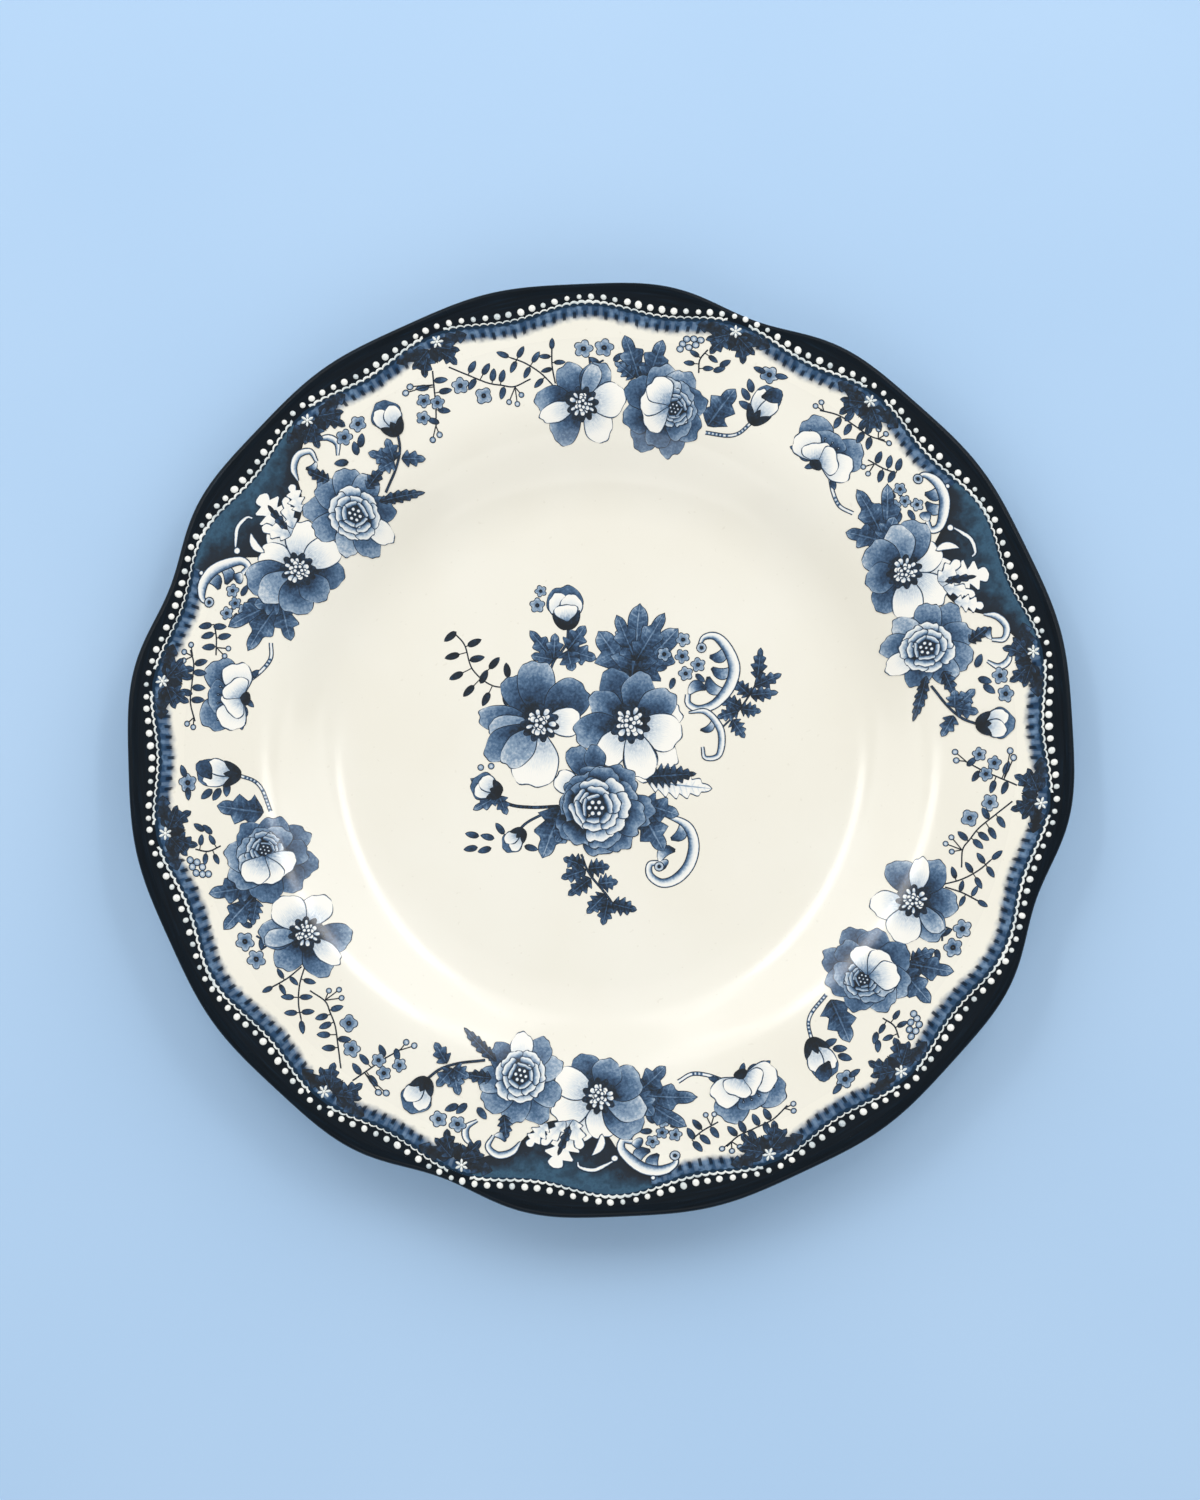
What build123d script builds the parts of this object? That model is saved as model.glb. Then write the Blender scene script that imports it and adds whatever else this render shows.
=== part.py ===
from build123d import *

import os
from math import cos, degrees, radians, sin, tan

# China dinner plate with a printed and beaded rim.
# Millimetres. +Z is up and the origin is the centre of the foot ring's bearing face.
# X and Y are mirror axes of the scalloped outline, whose four notches lie on the diagonals.

# ---- driving dimensions: outline ----
EDGE_RADIUS = 135.45          # mean radius of the lobed edge without its notches
LOBES = 16                    # shallow lobes in one turn, with a dip on each axis
LOBE_SWING = 0.45             # of the edge, out at a lobe and in at a dip
NOTCHES = 4                   # one on each diagonal
NOTCH_DEPTH = 3.2             # under the dips beside it
NOTCH_SHARPNESS = 12          # a higher power makes the notches narrower
OUTLINE_POINTS = 6 * LOBES   # an even spacing that follows the lobes

# ---- driving dimensions: section ----
THICKNESS = 3.8               # glazed thickness of floor, wall and flange
GLAZE = 0.35                  # thickness of the glaze
PRINT = 0.10                  # thickness of the printed colour under the glaze
FOOT_HEIGHT = 2.5             # foot ring below the underside of the floor
WELL_RADIUS = 67.0            # flat of the eating face
WELL_CURVE = 34.0             # hollow curve from the flat up to the wall
WALL_SLOPE = radians(28.0)
WALL_LENGTH = 5.7             # straight of the wall
SHOULDER_CURVE = 41.6         # round shoulder from the wall out to the flange
FLANGE_SLOPE = radians(6.25)
SECTION_REACH = 142.0         # turned sections run past the outline, which then trims them
LIP_ROUND = 1.5

# ---- driving dimensions: foot ring ----
FOOT_INNER = 75.6
FOOT_OUTER = 79.0
FOOT_INNER_ROOT = (74.2, 4.2)
FOOT_OUTER_ROOT = (80.4, 5.7)
FOOT_ROUND = 0.6
BARE_FOOT = 0.9               # height of the unglazed bearing zone

# ---- driving dimensions: border ----
EDGE_BAND = 3.0               # width of the coloured lip on the face and on the back
WAVES = 18                    # waves of the beading and of the rope line in one turn
BEAD_LINE = 129.6
BEAD_SWING = 1.35
BEADS_PER_WAVE = 13
BEAD_RADIUS = 0.92            # mean radius of a bead's base
BEAD_SWELL = 0.08             # beads are larger in the troughs and smaller at the crests
BEAD_FLATNESS = 30.0          # latitude, in degrees, at which a ball is cut to make a bead
ROPE_LINE = 127.7
ROPE_SWING = 1.5
ROPE_WIDTH = 0.7
ROPE_RISE = 0.3
BORDER_RADII = (123.4, 128.6) # printed ground of the border
PRINT_TURN = -25.0            # print and relief are laid at this turn from the outline's axes
FIRST_ROSETTE = 12.0
ROSETTE_STEPS = (0.0, 40.0, 60.0, 100.0)
ROSETTE_LINE = 126.7
ROSETTE_RADIUS = 2.0
ROSETTE_PETALS = 8
ROSETTE_PETAL_FILL = 0.8      # of the petals' radius that would make them touch
ROSETTE_EYE = 0.4             # of the rosette's radius
ROSETTE_RISE = 0.45
ROSETTE_GAP = 3.6             # the rope line stops this far from a rosette's centre

# ---- driving dimensions: printed panels, sprays and bouquet ----
THIRDS = (0.0, 120.0, 240.0)
PANEL_ANGLE = 27.0
PANEL_HALF_ANGLE = 8.0
PANEL_RADII = (113.5, 121.8)
ANEMONE_SPRAY_ANGLE = 32.5
ANEMONE_SPRAY_HALF_ANGLE = 19.0
PEONY_SPRAY_ANGLE = 92.5
PEONY_SPRAY_HALF_ANGLE = 14.0
SPRAY_RADII = (90.0, 113.2)
BOUQUET_CENTRE = (3.8, -1.3)
BOUQUET_RADIUS = 46.0
BOUQUET_LOBES = 9
BOUQUET_LOBE_RADIUS = 16.0

# ---- worked out from the driving dimensions ----
FLOOR_HEIGHT = FOOT_HEIGHT + THICKNESS
WELL_CENTRE = (WELL_RADIUS, FLOOR_HEIGHT + WELL_CURVE)
WALL_TOP = (
    WELL_CENTRE[0] + WELL_CURVE * sin(WALL_SLOPE) + WALL_LENGTH * cos(WALL_SLOPE),
    WELL_CENTRE[1] - WELL_CURVE * cos(WALL_SLOPE) + WALL_LENGTH * sin(WALL_SLOPE),
)
SHOULDER_CENTRE = (
    WALL_TOP[0] + SHOULDER_CURVE * sin(WALL_SLOPE),
    WALL_TOP[1] - SHOULDER_CURVE * cos(WALL_SLOPE),
)
FORM_HEIGHT = 40.0            # taller than the plate: the height of the trimming outline
WAVE_POINTS = 6 * WAVES
ROSETTE_ANGLES = [FIRST_ROSETTE + PRINT_TURN + third + step for third in THIRDS for step in ROSETTE_STEPS]


os.makedirs("parts", exist_ok=True)


# ---- surfaces of the turned form ----
def on_well(depth, slope):
    """Radius and height on the hollow curve, at a depth under the eating face."""
    reach = WELL_CURVE + depth
    return (WELL_CENTRE[0] + reach * sin(slope), WELL_CENTRE[1] - reach * cos(slope))


def on_shoulder(depth, slope):
    """Radius and height on the shoulder curve, at a depth under the eating face."""
    reach = SHOULDER_CURVE - depth
    return (SHOULDER_CENTRE[0] - reach * sin(slope), SHOULDER_CENTRE[1] + reach * cos(slope))


def on_flange(depth, radius):
    """Radius and height on the flange, at a depth under the eating face."""
    start = on_shoulder(depth, FLANGE_SLOPE)
    return (radius, start[1] + (radius - start[0]) * tan(FLANGE_SLOPE))


def layer_section(top, bottom):
    """Section of the layer between two depths under the eating face, from the axis outwards."""
    middle_slope = (WALL_SLOPE + FLANGE_SLOPE) / 2
    with BuildSketch() as section:
        with BuildLine():
            for depth in (top, bottom):
                well = [on_well(depth, WALL_SLOPE * share) for share in (0, 0.5, 1)]
                shoulder = [on_shoulder(depth, s) for s in (WALL_SLOPE, middle_slope, FLANGE_SLOPE)]
                Line((0, FLOOR_HEIGHT - depth), well[0])
                ThreePointArc(*well)
                Line(well[2], shoulder[0])
                ThreePointArc(*shoulder)
                Line(shoulder[2], on_flange(depth, SECTION_REACH))
            Line((0, FLOOR_HEIGHT - top), (0, FLOOR_HEIGHT - bottom))
            Line(on_flange(top, SECTION_REACH), on_flange(bottom, SECTION_REACH))
        make_face()
    return section.sketch


# ---- outlines seen from above ----
def polar_point(radius, angle):
    return (radius * cos(radians(angle)), radius * sin(radians(angle)))


def wave_outline(radius_at, points):
    """Face inside a smooth closed curve whose radius follows a formula of the angle."""
    angles = [360.0 * i / points for i in range(points)]
    with BuildSketch() as outline:
        with BuildLine():
            Spline([polar_point(radius_at(angle), angle) for angle in angles], periodic=True)
        make_face()
    return outline.sketch


def plate_outline(inset):
    """The plate's scalloped outline, drawn in by an inset."""
    def radius_at(angle):
        lobes = LOBE_SWING * cos(radians(LOBES * angle))
        nearness = (1 - cos(radians(NOTCHES * angle))) / 2
        return EDGE_RADIUS - lobes - NOTCH_DEPTH * nearness**NOTCH_SHARPNESS - inset
    return wave_outline(radius_at, OUTLINE_POINTS)


def border_wave(angle):
    """Swing of the beading and of the rope line: 1 at a crest, -1 at a trough."""
    return cos(radians(WAVES * (angle - FIRST_ROSETTE - PRINT_TURN)))


def border_outline(line, swing):
    """Closed wavy line of the border, at a mean radius and with a swing."""
    return wave_outline(lambda angle: line + swing * border_wave(angle), WAVE_POINTS)


# ---- forms made as a layer of the turned section within an outline ----
def trimmed_form(section, outline):
    """Turned section, trimmed to an outline seen from above."""
    with BuildPart() as form:
        with BuildSketch(Plane.XZ):
            add(section)
        revolve(axis=Axis.Z)
        with BuildSketch():
            add(outline)
        extrude(amount=FORM_HEIGHT, mode=Mode.INTERSECT)
    return form.part


def lip_edges(form, inset):
    """The two long edges, over and under, of a trimmed form at an inset from the plate's outline."""
    reach = plate_outline(inset).bounding_box().max.X
    return [
        edge
        for edge in form.edges()
        if edge.length > EDGE_RADIUS and abs(edge.bounding_box().max.X - reach) < GLAZE / 4
    ]


def flange_place(radius, angle):
    """Location on the eating face of the flange, with its Z along the face's normal."""
    x, y = polar_point(radius, angle)
    turned = Location((x, y, on_flange(0, radius)[1]), (0, 0, angle))
    return turned * Location((0, 0, 0), (0, -degrees(FLANGE_SLOPE), 0))


# ---- clay body: the pressed form with its foot ring, the foot's bearing face left bare ----
with BuildSketch() as body_section:
    add(layer_section(GLAZE, THICKNESS - GLAZE))
    with BuildLine():
        Polyline(FOOT_INNER_ROOT, (FOOT_INNER, 0), (FOOT_OUTER, 0), FOOT_OUTER_ROOT, close=True)
    make_face()
    fillet(body_section.vertices().group_by(Axis.Y)[0], FOOT_ROUND)

with BuildPart() as clay_body:
    add(trimmed_form(body_section.sketch, plate_outline(GLAZE)))
    fillet(lip_edges(clay_body, GLAZE), LIP_ROUND - GLAZE)
clay_body.part.label = "clay_body"
export_step(clay_body.part, "parts/clay_body.step")

# ---- edge band: the dark colour and glaze over the lip, a thin shell round it ----
with BuildPart() as edge_band:
    add(trimmed_form(layer_section(0, THICKNESS), plate_outline(0)))
    add(
        trimmed_form(layer_section(GLAZE, THICKNESS - GLAZE), plate_outline(GLAZE)),
        mode=Mode.SUBTRACT,
    )
    with BuildSketch():
        add(plate_outline(EDGE_BAND))
    extrude(amount=FORM_HEIGHT, mode=Mode.SUBTRACT)
    fillet(lip_edges(edge_band, GLAZE), LIP_ROUND - GLAZE)
    fillet(lip_edges(edge_band, 0), LIP_ROUND)
edge_band.part.label = "edge_band"
export_step(edge_band.part, "parts/edge_band.step")

# ---- printed colour, laid on the clay and covered by the glaze ----
def ring_patch(radii, half_angle, centre_angle):
    """Round-ended patch of a ring between two radii, about a centre angle."""
    inner, outer = radii
    middle = (inner + outer) / 2
    cap_angle = degrees((outer - inner) / 2 / middle)
    start, end = centre_angle - half_angle, centre_angle + half_angle
    with BuildSketch() as patch:
        with BuildLine():
            for radius in radii:
                ThreePointArc(
                    polar_point(radius, start), polar_point(radius, centre_angle), polar_point(radius, end)
                )
            for angle, cap in ((start, start - cap_angle), (end, end + cap_angle)):
                ThreePointArc(polar_point(inner, angle), polar_point(middle, cap), polar_point(outer, angle))
        make_face()
    return patch.sketch


def three_patches(radii, half_angle, angle):
    """The same ring patch three times round the plate."""
    with BuildSketch() as patches:
        for third in THIRDS:
            add(ring_patch(radii, half_angle, angle + PRINT_TURN + third))
    return patches.sketch


with BuildSketch() as border_ground:
    Circle(BORDER_RADII[1])
    Circle(BORDER_RADII[0], mode=Mode.SUBTRACT)

with BuildSketch() as bouquet_ground:
    Circle(BOUQUET_RADIUS - BOUQUET_LOBE_RADIUS)
    with PolarLocations(BOUQUET_RADIUS - BOUQUET_LOBE_RADIUS, BOUQUET_LOBES):
        Circle(BOUQUET_LOBE_RADIUS)
bouquet_place = Rotation(0, 0, PRINT_TURN) * Pos(*BOUQUET_CENTRE)

printed_outlines = {
    "border_print": border_ground.sketch,
    "panel_print": three_patches(PANEL_RADII, PANEL_HALF_ANGLE, PANEL_ANGLE),
    "anemone_spray_print": three_patches(SPRAY_RADII, ANEMONE_SPRAY_HALF_ANGLE, ANEMONE_SPRAY_ANGLE),
    "peony_spray_print": three_patches(SPRAY_RADII, PEONY_SPRAY_HALF_ANGLE, PEONY_SPRAY_ANGLE),
    "centre_bouquet_print": bouquet_place * bouquet_ground.sketch,
}
prints = []
for name, outline in printed_outlines.items():
    printed = trimmed_form(layer_section(GLAZE - PRINT, GLAZE), outline)
    printed.label = name
    export_step(printed, f"parts/{name}.step")
    prints.append(printed)

# ---- face glaze: the clear coat over the eating face, with the print in its underside ----
with BuildPart() as face_glaze:
    add(trimmed_form(layer_section(0, GLAZE), plate_outline(EDGE_BAND)))
    add(prints, mode=Mode.SUBTRACT)
face_glaze.part.label = "face_glaze"
export_step(face_glaze.part, "parts/face_glaze.step")


# ---- back glaze and foot well glaze: outside and inside the foot ring ----
def foot_skin(bearing, root, side):
    """Section of the glaze down one wall of the foot ring, as far as its bare bearing zone."""
    share = BARE_FOOT / root[1]
    low = (bearing + share * (root[0] - bearing), BARE_FOOT)
    outer_root = (root[0] + side * GLAZE, root[1])
    outer_low = (low[0] + side * GLAZE, low[1])
    with BuildSketch() as skin:
        with BuildLine():
            Polyline(low, root, outer_root, outer_low, close=True)
        make_face()
    return skin.sketch


with BuildSketch() as under_section:
    add(layer_section(THICKNESS - GLAZE, THICKNESS))
    add(foot_skin(FOOT_OUTER, FOOT_OUTER_ROOT, 1))
    add(foot_skin(FOOT_INNER, FOOT_INNER_ROOT, -1))
    add(body_section.sketch, mode=Mode.SUBTRACT)

well_face, back_face = under_section.faces().sort_by(Axis.X)
for name, section in (("foot_well_glaze", well_face), ("back_glaze", back_face)):
    under_glaze = trimmed_form(section, plate_outline(EDGE_BAND))
    under_glaze.label = name
    export_step(under_glaze, f"parts/{name}.step")

# ---- beading: small flattened domes on a wavy line, larger in its troughs ----
with BuildPart() as beading:
    for step in range(BEADS_PER_WAVE):
        places = []
        for wave in range(WAVES):
            angle = FIRST_ROSETTE + PRINT_TURN + 360.0 * (wave + (step + 0.5) / BEADS_PER_WAVE) / WAVES
            swing = border_wave(angle)
            places.append(flange_place(BEAD_LINE + BEAD_SWING * swing, angle))
        base_radius = BEAD_RADIUS - BEAD_SWELL * swing
        with Locations(*places):
            Sphere(
                base_radius / cos(radians(BEAD_FLATNESS)),
                arc_size1=BEAD_FLATNESS,
                arc_size2=90,
                align=(Align.CENTER, Align.CENTER, Align.MIN),
            )
beading.part.label = "beading"
export_step(beading.part, "parts/beading.step")

# ---- rope line: a thin raised line inside the beading, open at each rosette ----
with BuildSketch() as rope_outline:
    add(border_outline(ROPE_LINE + ROPE_WIDTH / 2, ROPE_SWING))
    add(border_outline(ROPE_LINE - ROPE_WIDTH / 2, ROPE_SWING), mode=Mode.SUBTRACT)
    with Locations(*[polar_point(ROSETTE_LINE, angle) for angle in ROSETTE_ANGLES]):
        Circle(ROSETTE_GAP, mode=Mode.SUBTRACT)
rope_line = trimmed_form(layer_section(-ROPE_RISE, 0), rope_outline.sketch)
rope_line.label = "rope_line"
export_step(rope_line, "parts/rope_line.step")

# ---- rosettes: twelve small raised stars on the rope line ----
with BuildPart() as rosette:
    petal_radius = ROSETTE_RADIUS * sin(radians(180 / ROSETTE_PETALS))
    with BuildSketch():
        Circle(ROSETTE_RADIUS - petal_radius)
        with PolarLocations(ROSETTE_RADIUS - petal_radius, ROSETTE_PETALS):
            Circle(petal_radius * ROSETTE_PETAL_FILL)
    extrude(amount=ROSETTE_RISE)
    with Locations((0, 0, ROSETTE_RISE)):
        Sphere(
            ROSETTE_RADIUS * ROSETTE_EYE,
            arc_size1=BEAD_FLATNESS,
            arc_size2=90,
            align=(Align.CENTER, Align.CENTER, Align.MIN),
        )

with BuildPart() as rosettes:
    with Locations(*[flange_place(ROSETTE_LINE, angle) for angle in ROSETTE_ANGLES]):
        add(rosette.part)
rosettes.part.label = "rosettes"
export_step(rosettes.part, "parts/rosettes.step")
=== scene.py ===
import math
import random

import bpy
import numpy as np
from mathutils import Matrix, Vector


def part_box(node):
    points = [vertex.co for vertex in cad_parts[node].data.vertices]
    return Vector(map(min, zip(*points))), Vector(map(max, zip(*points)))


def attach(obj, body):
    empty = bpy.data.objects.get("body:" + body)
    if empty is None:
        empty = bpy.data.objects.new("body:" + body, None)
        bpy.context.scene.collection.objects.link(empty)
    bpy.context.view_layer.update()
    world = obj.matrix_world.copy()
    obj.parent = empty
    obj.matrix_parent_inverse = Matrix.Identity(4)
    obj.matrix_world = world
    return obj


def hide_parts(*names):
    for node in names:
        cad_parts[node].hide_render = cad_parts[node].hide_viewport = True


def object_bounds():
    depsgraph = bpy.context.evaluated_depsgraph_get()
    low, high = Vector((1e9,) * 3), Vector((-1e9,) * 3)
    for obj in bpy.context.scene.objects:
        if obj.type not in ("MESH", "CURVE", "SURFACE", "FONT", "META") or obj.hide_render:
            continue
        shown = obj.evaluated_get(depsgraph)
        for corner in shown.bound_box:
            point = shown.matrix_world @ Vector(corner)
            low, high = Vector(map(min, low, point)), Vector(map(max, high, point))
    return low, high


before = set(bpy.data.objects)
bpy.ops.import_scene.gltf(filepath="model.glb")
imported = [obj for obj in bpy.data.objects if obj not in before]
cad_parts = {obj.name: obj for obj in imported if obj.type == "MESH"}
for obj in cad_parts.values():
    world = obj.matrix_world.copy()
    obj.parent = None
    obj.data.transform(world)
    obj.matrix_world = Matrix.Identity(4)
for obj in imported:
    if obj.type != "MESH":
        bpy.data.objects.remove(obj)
cad_low, cad_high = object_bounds()

# China dinner plate, in the frame of the CAD model. Sizes are millimetres and turn into metres where a
# mesh is made; the studio is in metres. Angles of the print are counted from the picture's right-hand
# side, and PRINT_TURN takes them to the plate's own axes.
MM = 0.001
PRINT_TURN = math.radians(-25.0)
rng = random.Random(7)

# ---- section of the plate: the CAD model's own driving sizes ----
THICKNESS = 3.8
GLAZE = 0.35
FLOOR_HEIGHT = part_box("centre_bouquet_print")[0][2] / MM + GLAZE
WELL_RADIUS = 67.0        # the flat of the well ends here
WELL_CURVE = 34.0
WALL_SLOPE = math.radians(28.0)
WALL_LENGTH = 5.7
SHOULDER_CURVE = 41.6
FLANGE_SLOPE = math.radians(6.25)
LIP_ROUND = 1.5
BARE_FOOT = 0.9           # height of the foot that is left unglazed
FOOT_INNER, FOOT_INNER_ROOT = 75.6, (74.2, 4.2)
FOOT_OUTER, FOOT_OUTER_ROOT = 79.0, (80.4, 5.7)
EDGE_RADIUS = 135.45
LOBES, LOBE_SWING = 16, 0.45
NOTCHES, NOTCH_DEPTH, NOTCH_SHARPNESS = 4, 3.2, 12
WELL_CENTRE = (WELL_RADIUS, FLOOR_HEIGHT + WELL_CURVE)
WALL_TOP = (
    WELL_CENTRE[0] + WELL_CURVE * math.sin(WALL_SLOPE) + WALL_LENGTH * math.cos(WALL_SLOPE),
    WELL_CENTRE[1] - WELL_CURVE * math.cos(WALL_SLOPE) + WALL_LENGTH * math.sin(WALL_SLOPE),
)
SHOULDER_CENTRE = (
    WALL_TOP[0] + SHOULDER_CURVE * math.sin(WALL_SLOPE),
    WALL_TOP[1] - SHOULDER_CURVE * math.cos(WALL_SLOPE),
)

# ---- border ----
EDGE_BAND = 3.0
BORDER_WAVES = 18
FIRST_ROSETTE = math.radians(12.0)
BEAD_LINE, BEAD_SWING = 129.6, 1.35      # middle of the wavy line of beads, and how far it sways
BEADS_PER_WAVE = 13
BEAD_RADIUS, BEAD_SWELL, BEAD_HEIGHT = 0.92, 0.08, 0.55
RELIEF_SUNK = 0.02        # how far the foot of raised work sits in the glaze
ROPE_LINE, ROPE_SWING, ROPE_SCALLOPS = 127.7, 1.5, 360
BORDER_INNER, BORDER_LIFT = 119.0, 0.012
ROSETTE_LINE = 126.7
ROSETTE_STEPS = (0.0, 40.0, 60.0, 100.0)
ROSETTE_GAP = 3.2         # half the opening of the rope line at a rosette
ROSETTE_REACH = 1.15      # from a rosette's centre to the middle of its petals
THIRDS = (0.0, 120.0, 240.0)
TEETH = 260               # short dark strokes round the inner side of the border
ROSETTE_ANGLES = [FIRST_ROSETTE + math.radians(third + step) for third in THIRDS for step in ROSETTE_STEPS]

# ---- colours, as seen, in sRGB, and the glaze's refraction ----
CREAM = "F5F1E4"
CREAM_SHADE = "F1ECDD"
MID_BLUE = "304D6C"
GLAZE_IOR = 1.52


def linear(code):
    """Scene-linear colour of an sRGB hex code."""
    channels = [int(code[i:i + 2], 16) / 255 for i in (0, 2, 4)]
    lin = [c / 12.92 if c <= 0.04045 else ((c + 0.055) / 1.055) ** 2.4 for c in channels]
    return (*lin, 1.0)


# ---- surfaces ----
def face_profile(radius, depth=0.0):
    """Height and slope of the surface at a depth under the eating face, at a radius."""
    radius = np.asarray(radius, float)
    well, shoulder = WELL_CURVE + depth, SHOULDER_CURVE - depth
    well_end = WELL_CENTRE[0] + well * math.sin(WALL_SLOPE)
    shoulder_start = SHOULDER_CENTRE[0] - shoulder * math.sin(WALL_SLOPE)
    shoulder_end = SHOULDER_CENTRE[0] - shoulder * math.sin(FLANGE_SLOPE)
    well_sine = np.clip((radius - WELL_CENTRE[0]) / well, 0, math.sin(WALL_SLOPE))
    inward = (SHOULDER_CENTRE[0] - radius) / shoulder
    shoulder_sine = np.clip(inward, math.sin(FLANGE_SLOPE), math.sin(WALL_SLOPE))
    on_well = WELL_CENTRE[1] - well * np.sqrt(1 - well_sine**2)
    on_wall = on_well + np.maximum(radius - well_end, 0) * math.tan(WALL_SLOPE)
    on_shoulder = SHOULDER_CENTRE[1] + shoulder * np.sqrt(1 - shoulder_sine**2)
    on_shoulder = on_shoulder + np.maximum(radius - shoulder_end, 0) * math.tan(FLANGE_SLOPE)
    height = np.where(radius < shoulder_start, on_wall, on_shoulder)
    slope = np.arcsin(np.where(radius < shoulder_start, well_sine, shoulder_sine))
    return height, slope


def rim_radius(angle):
    """Radius of the scalloped outline at an angle from the plate's own X axis."""
    nearness = (1 - np.cos(NOTCHES * angle)) / 2
    return EDGE_RADIUS - LOBE_SWING * np.cos(LOBES * angle) - NOTCH_DEPTH * nearness**NOTCH_SHARPNESS


def border_wave(angle):
    """Swing of the beading and the rope line at an angle of the print: 1 at a crest."""
    return np.cos(BORDER_WAVES * (angle - FIRST_ROSETTE))


def round_steps(count):
    """Evenly spaced angles of one full turn."""
    return np.arange(count) * 2 * math.pi / count


def ring_faces(rows, steps, kept=None):
    """Faces between rings of points that lie row after row, at the kept steps or all round."""
    faces = []
    for row in range(rows - 1):
        low, high = row * steps, (row + 1) * steps
        for i in range(steps) if kept is None else kept:
            j = (i + 1) % steps
            faces.append((low + i, high + i, high + j, low + j))
    return faces


def new_piece(name, points, faces, node, material):
    """Object from points in millimetres, riding on the plate and standing for a CAD node."""
    mesh = bpy.data.meshes.new(name)
    mesh.from_pydata((np.asarray(points) * MM).tolist(), [], faces)
    mesh.update()
    mesh.polygons.foreach_set("use_smooth", [True] * len(mesh.polygons))
    mesh.materials.append(material)
    piece = bpy.data.objects.new(name, mesh)
    bpy.context.scene.collection.objects.link(piece)
    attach(piece, "root")
    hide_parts(node)
    return piece


# ---- node graph helper ----
class Graph:
    """Short names for the shader nodes of one material."""

    def __init__(self, name):
        self.material = bpy.data.materials.new(name)
        self.material.use_nodes = True
        self.tree = self.material.node_tree
        self.shader = self.tree.nodes["Principled BSDF"]
        self.place = self.node("ShaderNodeTexCoord").outputs["Object"]

    def node(self, kind, **settings):
        made = self.tree.nodes.new(kind)
        for key, value in settings.items():
            setattr(made, key, value)
        return made

    def feed(self, socket, value):
        if isinstance(value, bpy.types.NodeSocket):
            self.tree.links.new(value, socket)
        else:
            socket.default_value = value

    def math(self, operation, *values):
        made = self.node("ShaderNodeMath", operation=operation)
        for socket, value in zip(made.inputs, values):
            self.feed(socket, value)
        return made.outputs[0]

    def add(self, *values):
        total = values[0]
        for value in values[1:]:
            total = self.math("ADD", total, value)
        return total

    def times(self, *values):
        total = values[0]
        for value in values[1:]:
            total = self.math("MULTIPLY", total, value)
        return total

    def step(self, value, low, high, out_low=0.0, out_high=1.0):
        """Smooth step of value from low to high."""
        made = self.node("ShaderNodeMapRange", interpolation_type="SMOOTHSTEP")
        for socket, given in zip(made.inputs, (value, low, high, out_low, out_high)):
            self.feed(socket, given)
        return made.outputs[0]

    def noise(self, scale, detail, vector=None):
        made = self.node("ShaderNodeTexNoise")
        self.feed(made.inputs["Vector"], vector or self.place)
        self.feed(made.inputs["Scale"], scale)
        self.feed(made.inputs["Detail"], detail)
        self.feed(made.inputs["Roughness"], 0.5)
        return made.outputs[0]

    def unrest(self, scale, detail):
        """Noise about zero."""
        return self.math("SUBTRACT", self.noise(scale, detail), 0.5)

    def bump(self, height, strength, distance):
        made = self.node("ShaderNodeBump")
        made.inputs["Strength"].default_value = strength
        made.inputs["Distance"].default_value = distance
        self.feed(made.inputs["Height"], height)
        self.feed(self.shader.inputs["Normal"], made.outputs[0])

    def blend(self, share, first, second):
        """Mix of two colours, which are sockets 6 and 7 of the node."""
        made = self.node("ShaderNodeMix", data_type="RGBA")
        self.feed(made.inputs[0], share)
        self.feed(made.inputs[6], first)
        self.feed(made.inputs[7], second)
        return made.outputs[2]

    def ramp(self, value, stops):
        made = self.node("ShaderNodeValToRGB")
        elements = made.color_ramp.elements
        while len(elements) < len(stops):
            elements.new(0.5)
        for element, (where, code) in zip(elements, stops):
            element.position = where
            element.color = linear(code)
        self.feed(made.inputs[0], value)
        return made.outputs[0]

    def attribute(self, name):
        made = self.node("ShaderNodeAttribute", attribute_name=name)
        split = self.node("ShaderNodeSeparateXYZ")
        self.feed(split.inputs[0], made.outputs["Vector"])
        return split.outputs

    def polar(self):
        """Radius in millimetres, and angle of the print in radians."""
        split = self.node("ShaderNodeSeparateXYZ")
        self.feed(split.inputs[0], self.place)
        x, y = split.outputs[0], split.outputs[1]
        squares = self.add(self.math("MULTIPLY", x, x), self.math("MULTIPLY", y, y))
        radius = self.math("MULTIPLY", self.math("SQRT", squares), 1 / MM)
        angle = self.math("SUBTRACT", self.math("ARCTAN2", y, x), PRINT_TURN)
        return radius, angle

    def cream(self):
        """The glazed clay's colour: warm, a little uneven, with faint specks."""
        cloud = self.noise(18.0, 3.0)
        base = self.blend(self.step(cloud, 0.3, 0.75), linear(CREAM), linear(CREAM_SHADE))
        speck = self.step(self.noise(900.0, 0.0), 0.80, 0.86, 0.0, 0.12)
        return self.blend(speck, base, linear("B9AE96"))

    def glossy(self, colour, roughness=0.14, sheen=0.5):
        """Glossy glaze over a colour, with the shallow waviness of fired glaze."""
        self.feed(self.shader.inputs["Base Color"], colour)
        uneven = self.step(self.noise(60.0, 2.0), 0.3, 0.8, roughness, roughness + 0.06)
        self.feed(self.shader.inputs["Roughness"], uneven)
        self.shader.inputs["IOR"].default_value = GLAZE_IOR
        self.shader.inputs["Specular IOR Level"].default_value = sheen
        self.shader.inputs["Coat Weight"].default_value = 0.5 * sheen
        self.shader.inputs["Coat Roughness"].default_value = 0.10
        waves, ripples = self.noise(35.0, 1.0), self.noise(160.0, 1.0)
        self.bump(self.add(self.times(waves, 0.7), self.times(ripples, 0.12)), 0.22, 0.9 * MM)
        return self.material


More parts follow.
